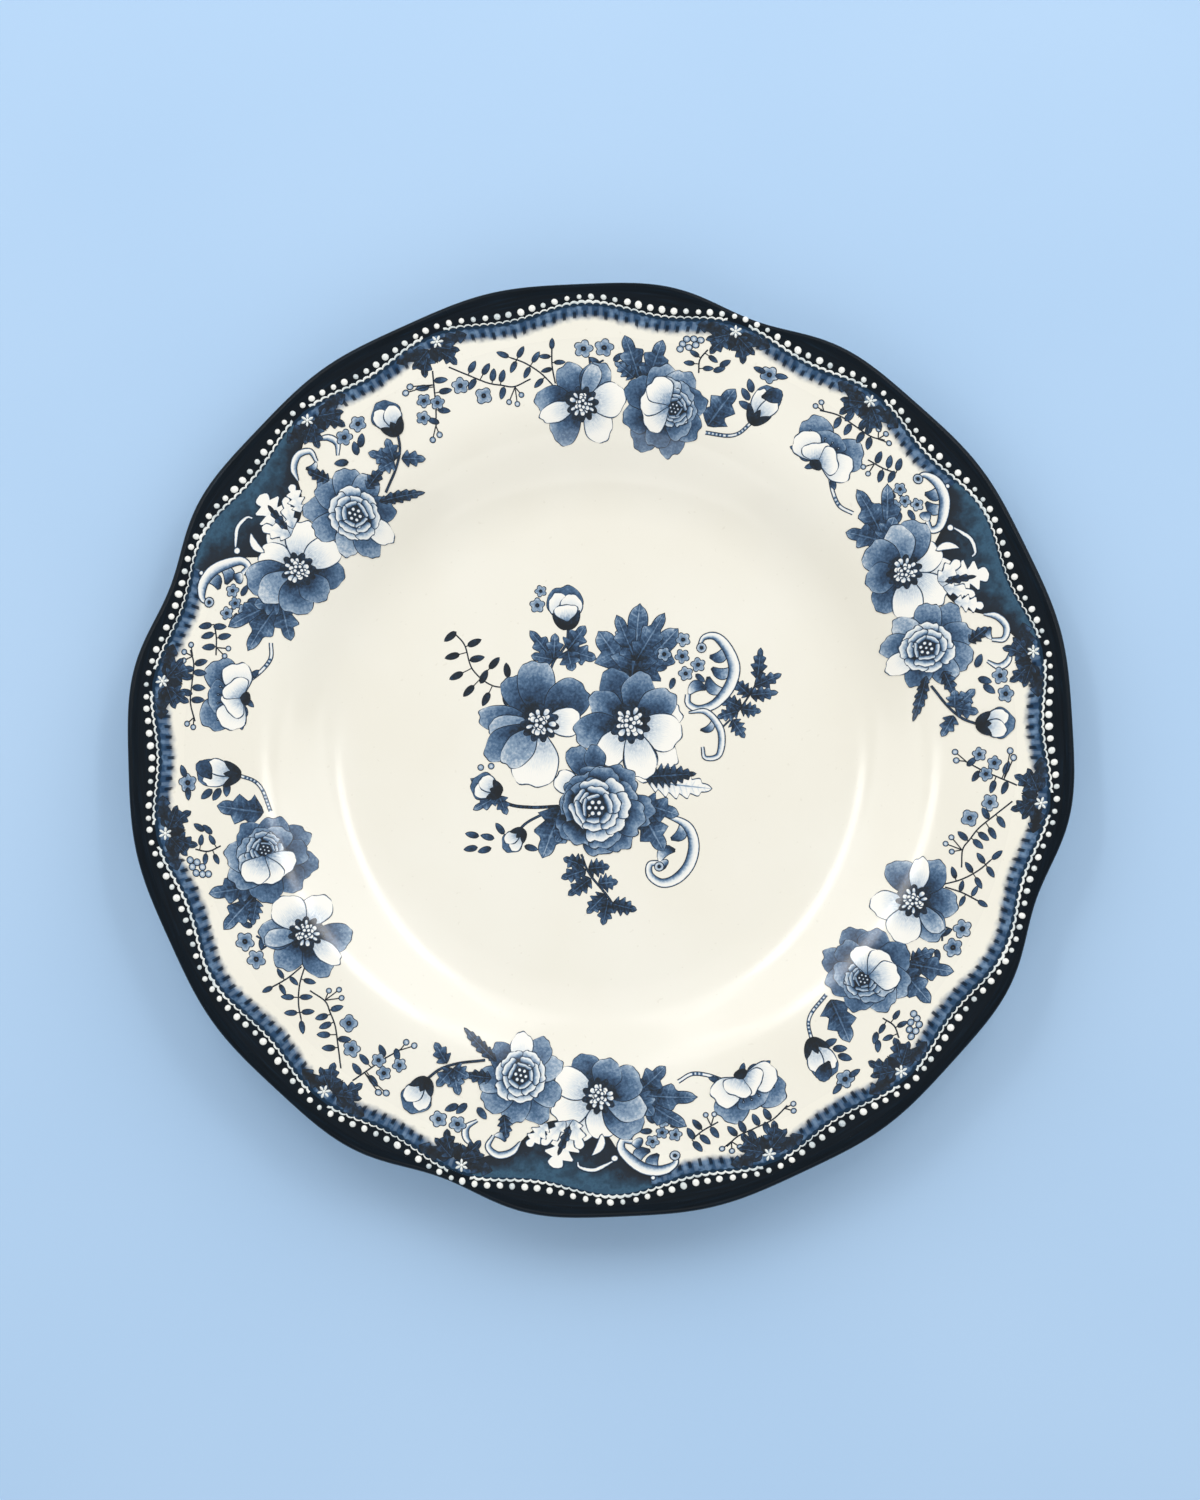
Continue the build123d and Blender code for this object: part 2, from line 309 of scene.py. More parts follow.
# ---- materials ----
def make_cream_glaze():
    graph = Graph("cream_glaze")
    return graph.glossy(graph.cream())


def make_bare_clay():
    graph = Graph("bare_clay")
    tone = graph.noise(220.0, 4.0)
    colour = graph.ramp(tone, [(0.3, "CDBFA4"), (0.55, "DDD1B9"), (0.8, "E6DCC8")])
    scuff = graph.step(graph.noise(70.0, 3.0), 0.55, 0.7, 0.0, 0.5)
    graph.feed(graph.shader.inputs["Base Color"], graph.blend(scuff, colour, linear("A99B84")))
    graph.feed(graph.shader.inputs["Roughness"], graph.step(tone, 0.2, 0.8, 0.7, 0.95))
    graph.bump(graph.noise(1800.0, 3.0), 0.5, 0.2 * MM)
    return graph.material


def dark_ground(graph):
    """Near-black blue of the edge, with faint brushed streaks along the rim."""
    radius, angle = graph.polar()
    streak_place = graph.node("ShaderNodeCombineXYZ")
    graph.feed(streak_place.inputs[0], graph.times(radius, 0.9))
    graph.feed(streak_place.inputs[1], graph.times(angle, 6.0))
    streak = graph.noise(1.6, 3.0, vector=streak_place.outputs[0])
    return graph.ramp(streak, [(0.25, "030B12"), (0.6, "06131D"), (0.85, "0E2231")])


def make_dark_band():
    graph = Graph("dark_band")
    return graph.glossy(dark_ground(graph), 0.26, 0.12)


def make_border_print():
    """Dark ground, rope shadow, blue band and toothed fringe that fades into the cream."""
    graph = Graph("border_print")
    radius, angle = graph.polar()
    wave = graph.math("COSINE", graph.times(graph.math("SUBTRACT", angle, FIRST_ROSETTE), BORDER_WAVES))
    rope = graph.add(graph.times(wave, ROPE_SWING), ROPE_LINE)
    wander = graph.times(graph.unrest(260.0, 2.0), 0.9)
    inside = graph.add(graph.math("SUBTRACT", rope, radius), wander)
    tooth = graph.math("COSINE", graph.times(angle, TEETH))
    # blue band with light bars across it and a dark shadow beside the rope line
    mottle = graph.noise(420.0, 3.0)
    blue = graph.ramp(mottle, [(0.3, "1F3A57"), (0.5, MID_BLUE), (0.75, "6D8AA8")])
    light_bar = graph.times(graph.step(tooth, 0.1, 0.9), graph.step(inside, 0.8, 1.6), 0.30)
    blue = graph.blend(light_bar, blue, linear("8CA3BC"))
    scallop = graph.times(graph.math("COSINE", graph.times(angle, ROPE_SCALLOPS)), 0.14)
    under_rope = graph.step(graph.add(inside, scallop), 0.75, 1.1, 1.0, 0.0)
    blue = graph.blend(under_rope, blue, linear("142C40"))
    # fringe: the blue fades out about 3 to 6 mm inside the rope line, under dark teeth of uneven length
    fade = graph.step(graph.add(inside, graph.times(graph.noise(500.0, 2.0), 1.6)), 3.9, 6.4)
    blue = graph.blend(fade, blue, graph.cream())
    tooth_length = graph.add(3.4, graph.times(graph.noise(300.0, 1.0), 2.6))
    tooth_body = graph.step(graph.math("SUBTRACT", inside, tooth_length), 0.0, -0.7)
    dark_bar = graph.times(graph.step(tooth, -0.25, -0.75), tooth_body, graph.step(inside, 1.9, 2.7))
    blue = graph.blend(graph.times(dark_bar, 0.92), blue, linear("0B1D2E"))
    ground = graph.step(inside, -0.15, 0.15)
    return graph.glossy(graph.blend(ground, dark_ground(graph), blue), 0.12, 0.18)


def make_white_relief():
    graph = Graph("white_relief")
    # the relief tone includes painted shade at the feet of the domes and of the rope line
    shade = graph.attribute("relief")[0]
    value = graph.add(shade, graph.times(graph.unrest(700.0, 2.0), 0.35))
    stops = [(0.0, "16293A"), (0.3, "7E95A6"), (0.62, "DDE4E2"), (1.0, "FBFAF3")]
    return graph.glossy(graph.ramp(value, stops), 0.12)


INK_STOPS = [(0.0, "FAF7EE"), (0.12, "DCE2E4"), (0.32, "8CA2B8"), (0.52, "4B6A8A"),
             (0.70, "234160"), (0.86, "0C2132"), (1.0, "030D15")]


def make_ink():
    """Printed drawing: tone, dark outline, veins and engraved hatching from the film's attributes."""
    graph = Graph("ink")
    tone, edge, vein = graph.attribute("ink")
    along, across, hatch = graph.attribute("grain")
    stipple = graph.unrest(1300.0, 2.0)
    wash = graph.unrest(230.0, 3.0)
    hatch_place = graph.node("ShaderNodeCombineXYZ")
    graph.feed(hatch_place.inputs[0], graph.times(along, 0.35))
    graph.feed(hatch_place.inputs[1], graph.times(across, 7.0))
    line = graph.math("SUBTRACT", graph.noise(2.2, 2.0, vector=hatch_place.outputs[0]), 0.5)
    total = graph.add(tone, graph.times(stipple, 0.42, graph.step(tone, 0.0, 0.3)))
    total = graph.add(total, graph.times(wash, 0.45, graph.step(tone, 0.05, 0.4)))
    total = graph.add(total, graph.times(line, hatch))
    midrib = graph.step(graph.math("ABSOLUTE", across), 0.03, 0.10, 1.0, 0.0)
    chevron = graph.add(graph.times(along, 3.6), graph.times(graph.math("ABSOLUTE", across), -4.5))
    side_vein = graph.step(graph.math("SINE", chevron), 0.55, 0.95)
    veins = graph.math("MAXIMUM", midrib, graph.times(side_vein, 0.35))
    total = graph.add(total, graph.times(veins, vein))
    ragged = graph.add(edge, graph.times(stipple, 0.22))
    outline = graph.step(ragged, 0.08, 0.50, 1.0, 0.0)
    total = graph.math("MAXIMUM", total, graph.times(outline, 0.97))
    return graph.glossy(graph.ramp(total, INK_STOPS))


def make_panel_ink():
    """Mottled teal field that darkens to near black towards its foot."""
    graph = Graph("panel_ink")
    share, edge, _ = graph.attribute("ink")
    mottle = graph.unrest(340.0, 4.0)
    fleck = graph.unrest(1100.0, 2.0)
    value = graph.add(share, graph.times(mottle, 0.9), graph.times(fleck, 0.3))
    stops = [(0.0, "050F18"), (0.45, "0A1D2C"), (0.72, "1B3B50"), (0.95, "2F566F"), (1.0, "264A62")]
    colour = graph.ramp(value, stops)
    outline = graph.step(graph.add(edge, graph.times(fleck, 0.4)), 0.0, 0.35, 1.0, 0.0)
    return graph.glossy(graph.blend(outline, colour, linear("050E17")))


# ---- plain glazed surfaces ----
ROUND_STEPS = 720
SHARP_EDGE = math.radians(40)
LAST_CIRCLE = 122.0       # the face's rows are circles up to here, then take the outline's scallops
BACK_FINE_TO = 106.0      # the back's rows lie close together up to here


def turned_shell(name, rows, node, material):
    """Closed shell from a loop of section rows, each a pair (radii, heights) round the plate."""
    angles = round_steps(ROUND_STEPS)
    cosines, sines = np.cos(angles), np.sin(angles)
    points, starts = [], []
    for radii, heights in rows:
        radii = np.broadcast_to(radii, angles.shape)
        heights = np.broadcast_to(heights, angles.shape)
        starts.append(len(points))
        if radii.max() == 0:
            points.append((0.0, 0.0, float(heights[0])))
        else:
            points.extend(np.stack([radii * cosines, radii * sines, heights], 1).tolist())
    ends = starts[1:] + [len(points)]
    sizes = [end - start for start, end in zip(starts, ends)]
    faces = []
    for row in range(len(rows)):
        other = (row + 1) % len(rows)
        a, b = starts[row], starts[other]
        for i in range(ROUND_STEPS):
            j = (i + 1) % ROUND_STEPS
            if sizes[row] == 1 and sizes[other] == 1:
                break
            if sizes[row] == 1:
                faces.append((a, b + i, b + j))
            elif sizes[other] == 1:
                faces.append((a + i, b, a + j))
            else:
                faces.append((a + i, b + i, b + j, a + j))
    piece = new_piece(name, points, faces, node, material)
    piece.data.set_sharp_from_angle(angle=SHARP_EDGE)


def surface_rows(radii, depth):
    """Rows at a depth under the eating face, one for each radius or ring of radii."""
    return [(radius, face_profile(radius, depth)[0]) for radius in radii]


def face_rows(outer, depth):
    """Rows over the eating face at a depth, from the axis out to the given radii."""
    wall = np.linspace(66.0, 104.0, 52)
    plain = [0.0, 20.0, 40.0, 60.0, *wall, 110.0, 116.0, LAST_CIRCLE]
    return surface_rows(plain + [(LAST_CIRCLE + outer) / 2, outer], depth)


def edge_rows(rim, inset):
    """Rows of the painted edge at an inset from its surface, from the face round the lip to the back."""
    band, lip_round = [rim - EDGE_BAND], LIP_ROUND - inset
    quarter = np.linspace(0, math.pi / 2, 9)
    rows = surface_rows(band, inset)
    for depth, way, turns in ((inset, -1, quarter), (THICKNESS - inset, 1, quarter[::-1])):
        for turn in turns:
            radius = rim - inset - lip_round * (1 - math.sin(turn))
            height = face_profile(radius, depth)[0] + way * lip_round * (1 - math.cos(turn))
            rows.append((radius, height))
    return rows + surface_rows(band, THICKNESS - inset)


def foot_side(radius, root):
    """Radius of the foot's side where the bare clay ends, from its radius at the table and its root."""
    return radius + (root[0] - radius) * BARE_FOOT / root[1]


def back_rows(band, depth, shift):
    """Rows from the bare foot up its outer side and out to the painted edge."""
    foot = foot_side(FOOT_OUTER, FOOT_OUTER_ROOT) + shift
    root = FOOT_OUTER_ROOT[0] + shift
    top = float(face_profile(root, depth)[0])
    corner = [(foot, BARE_FOOT), (root - 0.2, top - 0.9), (root + 0.15, top - 0.15)]
    radii = [*np.linspace(root + 0.8, BACK_FINE_TO, 36), (BACK_FINE_TO + band) / 2, band]
    return corner + surface_rows(radii, depth)


def foot_well_rows(depth, shift):
    """Rows under the well, from the axis out and down the foot's inner side to its bare clay."""
    foot = foot_side(FOOT_INNER, FOOT_INNER_ROOT) - shift
    root = FOOT_INNER_ROOT[0] - shift
    top = float(face_profile(root, depth)[0])
    corner = [(root - 0.5, top - 0.02), (root + 0.05, top - 0.5), (foot, BARE_FOOT)]
    return surface_rows((0.0, 25.0, 50.0, 66.0, 69.0, 71.5), depth) + corner


def make_plain_surfaces():
    rim = rim_radius(round_steps(ROUND_STEPS))
    band = rim - EDGE_BAND
    under_glaze = THICKNESS - GLAZE
    cream = make_cream_glaze()
    face = face_rows(band, 0.0) + face_rows(band, GLAZE)[::-1]
    edge = edge_rows(rim, 0.0) + edge_rows(rim, GLAZE)[::-1]
    back = back_rows(band, under_glaze, 0.0) + back_rows(band, THICKNESS, GLAZE)[::-1]
    foot_well = foot_well_rows(THICKNESS, GLAZE)[::-1] + foot_well_rows(under_glaze, 0.0)
    turned_shell("glazed_face", face, "face_glaze", cream)
    turned_shell("painted_edge", edge, "edge_band", make_dark_band())
    turned_shell("glazed_back", back, "back_glaze", cream)
    turned_shell("glazed_foot_well", foot_well, "foot_well_glaze", cream)
    bare_clay = make_bare_clay()
    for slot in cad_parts["clay_body"].material_slots:
        slot.material = bare_clay


def face_point(radius, print_angle, lift=0.0):
    """Point on the eating face, at a radius and an angle of the print."""
    angle = print_angle + PRINT_TURN
    height = face_profile(radius)[0]
    return np.stack(np.broadcast_arrays(radius * np.cos(angle), radius * np.sin(angle), height + lift), -1)


# ---- printed border ----
def make_border():
    steps, rows = 1440, 14
    angles = round_steps(steps)
    width = rim_radius(angles + PRINT_TURN) - EDGE_BAND - BORDER_INNER
    points = []
    for share in np.linspace(0, 1, rows):
        points.extend(face_point(BORDER_INNER + width * share, angles, BORDER_LIFT).tolist())
    print_material = make_border_print()
    new_piece("printed_border", points, ring_faces(rows, steps), "border_print", print_material)


# ---- raised work ----
class Relief:
    """Raised work gathered into one mesh, with how light each of its points is; the feet of the domes and of
    the rope line are darkened as painted shade.
    """

    RING, LEVELS = 12, 4

    def __init__(self):
        self.points, self.faces, self.tones_and_painted_shade = [], [], []

    def dome(self, radius, print_angle, size, height, tone, stretch=1.0, turn=0.0):
        """Low dome standing on the flange."""
        centre = face_point(radius, print_angle)
        angle = print_angle + PRINT_TURN
        cosine, sine = math.cos(angle), math.sin(angle)
        level_out = np.array([cosine, sine, 0.0]) * math.cos(FLANGE_SLOPE)
        out = level_out + np.array([0.0, 0.0, math.sin(FLANGE_SLOPE)])
        side = np.array([-sine, cosine, 0.0])
        up = np.cross(out, side)
        long_axis = math.cos(turn) * out + math.sin(turn) * side
        wide_axis = math.cos(turn) * side - math.sin(turn) * out
        start = len(self.points)
        for level in range(self.LEVELS):
            tilt = level / self.LEVELS * math.pi / 2
            for spin in round_steps(self.RING):
                spoke = math.cos(spin) * long_axis * stretch + math.sin(spin) * wide_axis
                rise = up * (height * math.sin(tilt) - RELIEF_SUNK)
                self.points.append(centre + size * math.cos(tilt) * spoke + rise)
                # painted shade: each dome is darker towards its foot, where it meets the glaze, and lightest
                # at its top
                self.tones_and_painted_shade.append(tone * (0.80 + 0.2 * math.sin(tilt)))
        top = len(self.points)
        self.points.append(centre + up * height)
        self.tones_and_painted_shade.append(tone)
        for low in range(start, top, self.RING):
            for i in range(self.RING):
                j, high = (i + 1) % self.RING, low + self.RING
                last = (top,) if high == top else (high + j, high + i)
                self.faces.append((low + i, low + j, *last))
        self.faces.append(tuple(start + i for i in reversed(range(self.RING))))

    def build(self, name, node, material):
        piece = new_piece(name, self.points, self.faces, node, material)
        attribute = piece.data.attributes.new("relief", "FLOAT_VECTOR", "POINT")
        attribute.data.foreach_set("vector", np.repeat(np.array(self.tones_and_painted_shade), 3))


def make_beading(material):
    relief = Relief()
    for bead in range(BORDER_WAVES * BEADS_PER_WAVE):
        angle = FIRST_ROSETTE + 2 * math.pi * (bead + 0.5) / (BORDER_WAVES * BEADS_PER_WAVE)
        swing = float(border_wave(angle))
        size = BEAD_RADIUS - BEAD_SWELL * swing
        dim = rng.random()
        tone = 1.0 if dim > 0.35 else 0.55 + dim
        size *= 1.0 + rng.uniform(-0.10, 0.12) - (0.12 if tone < 0.8 else 0.0)
        relief.dome(
            BEAD_LINE + BEAD_SWING * swing + rng.uniform(-0.12, 0.12),
            angle + rng.uniform(-0.0012, 0.0012),
            size, BEAD_HEIGHT, tone, stretch=rng.uniform(0.95, 1.18), turn=rng.uniform(0, 1),
        )
    relief.build("bead_row", "beading", material)


def make_rope(material):
    """Thin raised line with one fine scallop to each degree, open at the rosettes."""
    steps = 2880
    section = [(-0.36, -RELIEF_SUNK), (-0.26, 0.16), (0.0, 0.26), (0.26, 0.16), (0.36, -RELIEF_SUNK)]
    angles = round_steps(steps)
    wave = border_wave(angles)
    scallop = 0.52 * np.abs(np.sin(angles * ROPE_SCALLOPS / 2)) ** 0.7
    thick = 0.80 + 0.25 * np.sin(angles * 9.0 + 1.3) * np.sin(angles * 4.0)
    thick = thick + 0.50 * np.clip(wave, 0, 1) ** 3
    line = ROPE_LINE + ROPE_SWING * wave
    relief = Relief()
    for across, rise in section:
        radius = line + across * thick + scallop - 0.1
        relief.points.extend(face_point(radius, angles, rise).tolist())
        # painted shade: the rows at the foot of the rope line, where it meets the glaze, are 0.25 darker;
        # the rest of the tone varies along the line
        relief.tones_and_painted_shade.extend((0.60 + 0.28 * np.sin(angles * 23) ** 2 - 0.25 * (rise < 0)).tolist())
    gap_half = ROSETTE_GAP / ROSETTE_LINE
    away = np.abs((angles[:, None] - np.array(ROSETTE_ANGLES) + math.pi) % (2 * math.pi) - math.pi)
    kept = np.flatnonzero(away.min(axis=1) >= gap_half).tolist()
    relief.faces = ring_faces(len(section), steps, kept)
    relief.build("rope_edge", "rope_line", material)


def make_rosettes(material):
    relief = Relief()
    for angle in ROSETTE_ANGLES:
        for petal in range(6):
            spin = 2 * math.pi * petal / 6 + 0.3
            radius = ROSETTE_LINE + ROSETTE_REACH * math.cos(spin)
            spot = angle + ROSETTE_REACH * math.sin(spin) / ROSETTE_LINE
            relief.dome(radius, spot, 0.40, 0.34, 0.80, 2.0, spin)
        relief.dome(ROSETTE_LINE, angle, 0.50, 0.50, 0.95)
    relief.build("star_rosettes", "rosettes", material)


make_plain_surfaces()
make_border()
white_relief = make_white_relief()
make_beading(white_relief)
make_rope(white_relief)
make_rosettes(white_relief)

# ---- printed drawing ----
LAYER = 0.005             # height of one layer of print, mm
FIRST_LIFT = 0.02         # height over the glaze from which the layers are counted, mm
ABOVE_PANELS = 4          # level from which the sprays start, as they lie over the dark panels
CELL = 1.8                # size of the cells that remember how many layers lie on them, mm
RIM_MIDDLE = 108.0        # radius along which the sprays of the rim are laid out
ANEMONE_SPRAYS = (152.0, 272.0, 32.0)
PEONY_SPRAYS = (92.0, 212.0, 332.0)
SCROLL_TAPER = (0.35, 0.9, 1.05, 1.0, 0.75, 0.5)

# Ink runs from 0, as pale as the glaze, to 1, near black. A shade is the ink at a shape's base and at
# its tip. The last number is the strength of the engraved lines.
PETAL_INK = {
    "blue": ((1.15, 0.34), 0.32),
    "dark": ((1.15, 0.50), 0.28),
    "pale": ((0.70, 0.22), 0.30),
    "white": ((0.60, -0.10), 0.50),
}

# Rings of a peony from the outside in: reach, number of petals, ink at base and tip, engraved lines.
PEONY_RINGS = [
    (1.00, 8, 1.0, 0.36, 0.28),
    (0.83, 7, 1.0, 0.30, 0.28),
    (0.66, 7, 1.0, -0.06, 0.20),
    (0.49, 6, 0.98, -0.08, 0.20),
    (0.33, 5, 0.95, -0.06, 0.20),
]


def smooth_path(path, pace=0.55):
    """Dense points on a smooth curve through the given ones."""
    path = np.array(path, float)
    padded = np.vstack([2 * path[0] - path[1], path, 2 * path[-1] - path[-2]])
    dense = []
    for p0, p1, p2, p3 in zip(padded, padded[1:], padded[2:], padded[3:]):
        count = max(3, int(np.hypot(*(p2 - p1)) / pace))
        for t in np.arange(count) / count:
            square, cube = 2 * p0 - 5 * p1 + 4 * p2 - p3, 3 * p1 - p0 - 3 * p2 + p3
            dense.append(p1 + 0.5 * ((p2 - p0) * t + square * t**2 + cube * t**3))
    return np.array(dense + [path[-1]])


def nearest(line, point):
    """Point of a line that lies nearest to the given one."""
    return line[np.argmin(np.hypot(*(line - np.array(point)).T))]


def heading(turn):
    return np.array([math.cos(turn), math.sin(turn)])


def between(pair, share):
    return pair[0] + (pair[1] - pair[0]) * share


def axes(base, tip):
    """Base, axis, length and sideways direction of a shape that runs from base to tip."""
    base = np.array(base, float)
    axis = np.array(tip, float) - base
    length = max(np.hypot(*axis), 0.1)
    return base, axis, length, np.array([-axis[1], axis[0]]) / length


class Film:
    """Patches of print that overlap in layers and share one mesh."""

    def __init__(self, first_level=1):
        self.first_level = first_level
        self.count = 0
        self.points, self.faces, self.ink, self.grain, self.lift = [], [], [], [], []
        self.level_of_cell = {}

    def sheet(self, grid, tone, edge, along, across, hatch=0.0, vein=0.0):
        """One patch from rows of points, a layer above what lies there, with its ink at each point."""
        rows, columns = grid.shape[:2]
        cells = set(map(tuple, np.floor(grid.reshape(-1, 2) / CELL).astype(int)))
        level = 1 + max(self.level_of_cell.get(cell, self.first_level) for cell in cells)
        self.level_of_cell.update({cell: level for cell in cells})
        self.points.append(grid.reshape(-1, 2))
        for store, values in ((self.ink, (tone, edge, vein)), (self.grain, (along, across, hatch))):
            spread = [np.broadcast_to(value, (rows, columns)) for value in values]
            store.append(np.stack(spread, -1).reshape(-1, 3))
        self.lift.append(np.full(rows * columns, level * LAYER))
        for row in range(rows - 1):
            for column in range(columns - 1):
                a = self.count + row * columns + column
                self.faces.append((a, a + 1, a + columns + 1, a + columns))
        self.count += rows * columns

    def leaf(self, base, tip, width, shade, shape=(0.6, 0.8), bend=0.0, teeth=0, bite=0.5, hatch=0.15,
             vein=0.0):
        """Leaf from its base to its tip."""
        base, axis, length, side = axes(base, tip)
        steps = max(9, int(length / 0.7), teeth * 6)
        t = np.linspace(0, 1, steps + 1)
        a, b = shape          # the leaf is broadest at a / (a + b) of its length
        peak = (a / (a + b)) ** a * (b / (a + b)) ** b
        half = 0.5 * width * np.maximum(t**a * (1 - t) ** b / peak, 0.03)
        saw = (t * teeth) % 1.0 if teeth else 0 * t
        lobe = np.where(saw < 0.8, (saw / 0.8) ** 1.3, (1 - saw) / 0.2)
        if teeth:
            half = half * (1 + bite * (lobe - 0.6))
        v = np.linspace(-1, 1, 7 if width > 3 else 5)
        sway = bend * length * 4 * t * (1 - t)
        middle = base + t[:, None, None] * axis + sway[:, None, None] * side
        grid = middle + (half[:, None] * v)[..., None] * side
        paler = 0.42 * np.abs(v) ** 0.8 * (0.75 + 0.25 * np.sign(v))
        tone = between(shade, t[:, None]) - lobe[:, None] * paler
        edge = half[:, None] * (1 - np.abs(v))
        self.sheet(grid, tone, edge, t[:, None] * length, np.broadcast_to(v, tone.shape), hatch, vein)

    def round_petal(self, base, tip, width, shade, ruffle=1.0, rim=-0.1, hatch=0.3, light=0.0, shadow=0.0,
                    scallop=0.0, power=0.8):
        """Broad petal with a rounded, wavy outer edge."""
        base, axis, length, side = axes(base, tip)
        t = np.linspace(0, 1, max(9, int(length / 0.7)) + 1)
        v = np.linspace(-1, 1, 13)
        widest = 0.68         # share of the length at which the petal is broadest
        foot = 0.14 + 0.86 * np.sin(np.clip(t / widest, 0, 1) * math.pi / 2) ** 1.2
        head = np.sqrt(1 - (np.clip(t - widest, 0, 1) / 0.45) ** 2)
        phase = rng.uniform(0, 6.28)
        half = 0.5 * width * foot * head * (1 + ruffle * 0.05 * t * np.sin(9 * t + phase))
        crown = 0.76 + 0.24 * np.sqrt(1 - (0.9 * v) ** 2)
        wavy = 0.022 * np.sin(3.4 * v + phase) + 0.016 * np.cos(6.6 * v + 2.3 * phase)
        wavy = wavy + scallop * (np.abs(np.cos(2.5 * v + 0.25 * math.sin(phase))) - 0.6)
        run = t[:, None] * (crown + ruffle * wavy * t[:, None] ** 2)
        grid = base + run[..., None] * axis + (half[:, None] * v)[..., None] * side
        open_share = np.clip((t - shadow) / (1 - shadow), 0, 1)
        tone = between(shade, open_share[:, None] ** power) + rim * np.abs(v) ** 2 + light * v
        edge = np.minimum(half[:, None] * (1 - np.abs(v)), (1 - t[:, None]) * length * crown)
        fan = v * np.clip(0.3 + t[:, None], 0, 1) * width / 3.2
        self.sheet(grid, tone, edge, t[:, None] * length * 0.6, fan, hatch * (1 - 0.55 * t[:, None]))

    def disc(self, centre, radius, shade, lobes=0, depth=0.3, hatch=0.1, spin=0.0):
        """Round spot, or a flower with its petals cut as lobes."""
        columns = max(12, lobes * 6)
        turn = np.linspace(0, 2 * math.pi, columns + 1)
        outline = radius * np.ones_like(turn)
        if lobes:
            outline = radius * (1 - depth + depth * np.abs(np.cos(lobes * (turn - spin) / 2)) ** 0.6)
        rings = np.linspace(0.04, 1, 4 if radius < 3 else 6)[:, None]
        reach = rings * outline
        grid = np.array(centre, float) + np.stack([reach * np.cos(turn), reach * np.sin(turn)], -1)
        self.sheet(grid, between(shade, rings), outline * (1 - rings), reach * 0.3, turn * 2.2, hatch)

    def ribbon(self, path, width, shade=(0.75, 0.75), taper=(1, 1, 1), bars=0.0, hatch=0.1, pace=0.55,
               inner=0.0):
        """Stem or scroll along a path."""
        line = smooth_path(path, pace)
        ahead = np.gradient(line, axis=0)
        ahead /= np.maximum(np.hypot(ahead[:, 0], ahead[:, 1]), 1e-6)[:, None]
        side = np.stack([-ahead[:, 1], ahead[:, 0]], 1)
        share = np.linspace(0, 1, len(line))
        half = 0.5 * width * np.maximum(np.interp(share, np.linspace(0, 1, len(taper)), taper), 0.05)
        v = np.linspace(-1, 1, 7 if width > 1.5 else 3)
        grid = line[:, None, :] + (half[:, None] * v)[..., None] * side[:, None, :]
        walk = np.concatenate([[0], np.cumsum(np.hypot(*np.diff(line, axis=0).T))])
        tone = between(shade, share) + bars * (np.sin(walk * 5.2) > 0.3)
        turning = np.sign(np.sum(ahead[:-1, 0] * ahead[1:, 1] - ahead[:-1, 1] * ahead[1:, 0]))
        tone = tone[:, None] + inner * np.clip(v * turning + 0.35, 0, 1.35) ** 1.6
        self.sheet(grid, tone, half[:, None] * (1 - np.abs(v)), walk[:, None], v, hatch)

    # motifs made of these patches
    def petal(self, heart, centre, width, kind, ruffle=1.0, reach=1.0):
        """Broad petal that fans out from a flower's heart over the given centre, or past it."""
        heart, centre = np.array(heart, float), np.array(centre, float)
        tip = heart + (centre - heart) * reach
        base = heart + (tip - heart) * 0.06
        shade, hatch = PETAL_INK[kind]
        rim, power = (-0.04, 0.55) if kind == "white" else (-0.10, 0.8)
        light = rng.uniform(-0.10, 0.10) if kind in ("blue", "dark") else 0.0
        self.round_petal(base, tip, width, shade, ruffle, rim, hatch, light, power=power)

    def petals(self, heart, spread, widen=1.0, ruffle=1.0, reach=1.0):
        """Petals of one flower, each given by its centre, its width and its kind."""
        for centre, width, kind in spread:
            self.petal(heart, centre, width * widen, kind, ruffle, reach)

    def spot_leaves(self, centres, stem, size=(3.6, 1.8), shade=(0.85, 0.60)):
        """Small leaflets at the given places, each pointing away from the stem."""
        line = smooth_path(stem) if len(stem) > 1 else np.array(stem, float)
        for centre in centres:
            centre = np.array(centre, float)
            away = centre - nearest(line, centre)
            reach = away / max(np.hypot(*away), 0.1) * size[0] / 2
            self.leaf(centre - reach, centre + reach, size[1], shade, (0.55, 0.7), hatch=0.1)

    def sprig(self, stem, leaves, size=(3.9, 1.9), shade=(0.85, 0.60)):
        """Stem with leaflets, each on a short stalk."""
        self.ribbon(stem, 0.42, (0.76, 0.76))
        line = smooth_path(stem)
        for centre in leaves:
            self.ribbon([tuple(nearest(line, centre)), centre], 0.30, (0.76, 0.76))
        self.spot_leaves(leaves, stem, size, shade)

    def berries(self, centres, radius=0.85, stalk=None):
        """Round berries, each on its own stalk from one point if that is given."""
        for centre in centres if stalk is not None else ():
            self.ribbon([stalk, centre], 0.34, (0.85, 0.85))
        for centre in centres:
            self.disc(centre, radius, (0.1, 0.5))

    def blossom(self, centre, radius, petals=5):
        """Small open flower with a dark eye."""
        self.disc(centre, radius, (0.62, 0.22), petals, 0.42, 0.3, rng.uniform(0, 1.2))
        self.disc(centre, radius * 0.28, (0.98, 0.98))
        self.disc(centre, radius * 0.12, (0.0, 0.1))

    def serrated(self, base, tip, width, shade=(0.94, 0.60), teeth=3, bend=0.0):
        """Dark leaf with pointed lobes, a pale midrib and pale side veins."""
        self.leaf(base, tip, width * 1.15, shade, (0.50, 0.85), bend, teeth, 0.62, 0.30, -0.26)

    def lobed(self, base, tips, width):
        """Leaf cut into pointed lobes from one base."""
        for tip in tips:
            self.serrated(base, tip, width)

    def frond(self, stem, width, leaf_width, leaves):
        """Stem with cut leaves, each given by its base and its tip."""
        self.ribbon(stem, width)
        for base, tip in leaves:
            self.serrated(base, tip, leaf_width, (0.98, 0.70), 4)

